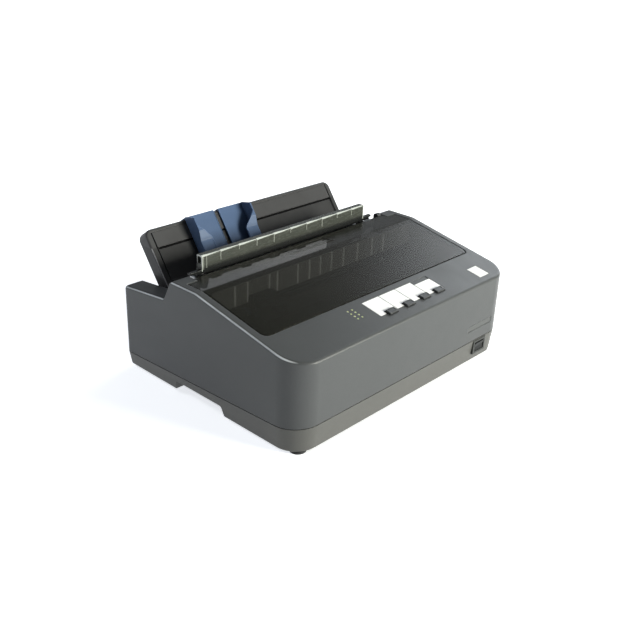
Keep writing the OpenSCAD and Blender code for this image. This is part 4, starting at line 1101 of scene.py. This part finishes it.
def build_badge():
    o = slab("name_badge_plate", rect(103, 151, 46.3, 53, 0.6), -0.65, -0.15, 0, 0.15, 2, MY)
    cut(o, slab("c", rect(103.8, 150.2, 47.1, 52.2, 0.4), -0.28, 1, m=MY))
    return o


place(build_badge(), M_BADGE, "case", "name_badge")


# ------------------------------------------------------------- power switch
def build_bezel():
    o = slab("power_switch_frame", rect(118, 143, 12.8, 30.6, 1.2), -0.05 - 3.0, 0.8, 0.0, 0.7, 3, MY, 5)
    add(o, slab("b", rect(119.8, 141.2, 14.8, 28.7, 0.4), -16, -0.1, 0.3, 0, 2, MY))
    cut(o, slab("c", rect(121, 140, 15.8, 27.8, 0.6), -12, 3, m=MY))
    for x in (124, 130.5, 137):
        add(o, slab("p", rect(x - 0.4, x + 0.4, 18, 24), -23, -15.9, 0.15, 0, 1, MY))
    add(o, xcyl("a", 0.95, 120.5, 140.5, (3, 21.8), 20))
    return o


place(build_bezel(), M_BEZEL, "case", "power_switch_body")


def build_rocker():
    m = Matrix.Translation((0, 3, 21.8)) @ Matrix.Rotation(math.radians(6), 4, "X") @ MX
    prof = [(3.5, -4.4, 0.5), (3.5, 4.4, 0.5), (-4, 5.4, 0.5), (-2.9, 0, 8), (-4, -5.4, 0.5)]
    o = slab("power_rocker_cap", prof, 121.7, 139.3, 0.5, 0.5, 3, m, 10)
    cut(o, slab("c", circle(0, 0, 1.0, 24), 121, 140, m=m))
    return o


place(build_rocker(), M_ROCK, "switch_rocker", "power_rocker")


# --------------------------------------------------------- feet and knob
def build_feet():
    parts = []
    for x, y in FEET:
        o = slab("f", circle(x, y, 9, 48), 0, 2.95, 0.6, 0.5, 3)
        add(o, slab("s", circle(x, y, 7, 40), 2.9, 3.9, 0, 0.3, 2))
        for k in range(3):
            ring = slab("g", circle(x, y, 2.4 + 2.2 * k, 40), -1, 0.35)
            if k < 3:
                cut(ring, slab("h", circle(x, y, 1.7 + 2.2 * k, 40), -2, 1))
            cut(o, ring)
        parts.append(o)
    return joined(parts, "rubber_feet_pads")


place(build_feet(), M_RUB, "case", "rubber_feet")


def build_knob():
    o = slab("feed_knob_wheel", circle(P[0], P[1], 15.5, 144), 166, 180.4, 0.8, 1.4, 4, MX)
    cut(o, xcyl("c", 4, 165, 178, P, 32))
    for i in range(18):
        a = math.radians(20 * i)
        cut(o, xcyl("c", 1.2, 165, 182, (P[0] + 16 * math.cos(a), P[1] + 16 * math.sin(a)), 16))
    ringc = xcyl("c", 12.2, 179.7, 182, P, 72)
    cut(ringc, xcyl("c", 6.5, 179, 183, P, 48))
    cut(o, ringc)
    return o


place(build_knob(), M_BLACK, "platen", "platen_knob", 25)

# ------------------------------------------------------------------- stage
cam_data = bpy.data.cameras.new("camera")
cam = bpy.data.objects.new("camera", cam_data)
bpy.context.scene.collection.objects.link(cam)
yaw, pitch, roll = math.radians(47.107), math.radians(24.972), math.radians(2.029)
d = Vector((math.sin(yaw) * math.cos(pitch), math.cos(yaw) * math.cos(pitch), -math.sin(pitch)))
r = Vector((math.cos(yaw), -math.sin(yaw), 0))
u = r.cross(d)
r2 = r * math.cos(roll) + u * math.sin(roll)
u2 = u * math.cos(roll) - r * math.sin(roll)
cam.matrix_world = Matrix((
    (r2.x, u2.x, -d.x, -0.69251),
    (r2.y, u2.y, -d.y, (-487.43 - YM) * 0.001),
    (r2.z, u2.z, -d.z, 0.49506),
    (0, 0, 0, 1)))
cam_data.sensor_fit = "HORIZONTAL"
cam_data.sensor_width = 36
cam_data.lens = 50.774
cam_data.clip_start = 0.01
cam_data.clip_end = 100
bpy.context.scene.camera = cam


def area(name, loc, aim, size, power, col=(1, 1, 1), size_y=None):
    ld = bpy.data.lights.new(name, "AREA")
    ld.energy = power
    ld.color = col
    ld.shape = "RECTANGLE"
    ld.size = size
    ld.size_y = size_y or size
    lo = bpy.data.objects.new(name, ld)
    lo.location = loc
    lo.rotation_euler = (Vector(aim) - Vector(loc)).to_track_quat("-Z", "Y").to_euler()
    bpy.context.scene.collection.objects.link(lo)
    return lo


def build_stage():
    me = bpy.data.meshes.new("floor")
    s = 14.0
    n = 8
    vs = [(-s + 2 * s * i / n, -s + 2 * s * j / n, 0.0) for j in range(n + 1) for i in range(n + 1)]
    fs = [(j * (n + 1) + i, j * (n + 1) + i + 1, (j + 1) * (n + 1) + i + 1, (j + 1) * (n + 1) + i) for j in range(n) for i in range(n)]
    me.from_pydata(vs, [], fs)
    fl = bpy.data.objects.new("floor", me)
    bpy.context.scene.collection.objects.link(fl)
    g = Graph("floor_paper")
    g.link(g.mix(g.noise(3.0, 2.0), (0.90, 0.90, 0.90), (0.93, 0.93, 0.93)), g.bsdf.inputs["Base Color"])
    g.bsdf.inputs["Roughness"].default_value = 0.9
    g.bsdf.inputs["Specular IOR Level"].default_value = 0.1
    g.bsdf.inputs["Emission Color"].default_value = (0.93, 0.955, 1.0, 1)
    sep = g.node("ShaderNodeVectorMath", operation="LENGTH")
    g.link(g.co, sep.inputs[0])
    # no glow below the printer, so that its underside and hand grips stay dark
    xyz = g.node("ShaderNodeSeparateXYZ")
    g.link(g.co, xyz.inputs[0])
    ex = g.math("MULTIPLY", g.math("ABSOLUTE", xyz.outputs[0]), 1 / 0.156)
    ey = g.math("MULTIPLY", g.math("ABSOLUTE", xyz.outputs[1]), 1 / 0.135)
    foot = g.ramp(g.math("MAXIMUM", ex, ey), 0.97, 1.06, 0.0, 1.0)
    g.link(g.math("MULTIPLY", foot, g.ramp(sep.outputs["Value"], 0.3, 3.2, 0.77, 0.98)), g.bsdf.inputs["Emission Strength"])
    me.materials.append(g.mat)


build_stage()


def build_world(base, lobes):
    """Even studio fill with broad soft lobes: (peak, direction, inner and outer angle)."""
    w = bpy.data.worlds.new("world")
    bpy.context.scene.world = w
    w.use_nodes = True
    nt = w.node_tree
    bg = nt.nodes["Background"]
    bg.inputs[0].default_value = (0.90, 0.95, 1.0, 1)
    co = nt.nodes.new("ShaderNodeTexCoord")
    total = None
    for peak, toward, inner, outer in lobes:
        dot = nt.nodes.new("ShaderNodeVectorMath")
        dot.operation = "DOT_PRODUCT"
        nt.links.new(co.outputs["Generated"], dot.inputs[0])
        dot.inputs[1].default_value = Vector(toward).normalized()
        mr = nt.nodes.new("ShaderNodeMapRange")
        mr.interpolation_type = "SMOOTHSTEP"
        mr.inputs["From Min"].default_value = math.cos(math.radians(outer))
        mr.inputs["From Max"].default_value = math.cos(math.radians(inner))
        mr.inputs["To Min"].default_value = 0.0
        mr.inputs["To Max"].default_value = peak
        nt.links.new(dot.outputs["Value"], mr.inputs["Value"])
        add_node = nt.nodes.new("ShaderNodeMath")
        add_node.operation = "ADD"
        nt.links.new(mr.outputs["Result"], add_node.inputs[0])
        if total is None:
            add_node.inputs[1].default_value = base
        else:
            nt.links.new(total, add_node.inputs[1])
        total = add_node.outputs[0]
    nt.links.new(total, bg.inputs[1])


build_world(0.13, ((6.0, (0.89, 0.16, 0.42), 8, 20), (0.5, (0.74, 0.58, 0.33), 2, 24)))
area("key", (1.3, -2.65, 0.95), (0.0, -0.05, 0.06), 1.4, 170, (1.0, 1.0, 0.90), 1.1)
area("edge", (-1.1, 1.6, 1.75), (0, 0, 0.1), 0.5, 12, (0.92, 0.96, 1.0))
bpy.context.scene.view_settings.view_transform = "Standard"
bpy.context.scene.view_settings.look = "None"
bpy.context.scene.view_settings.exposure = 0.0
bpy.context.scene.view_settings.gamma = 1.0
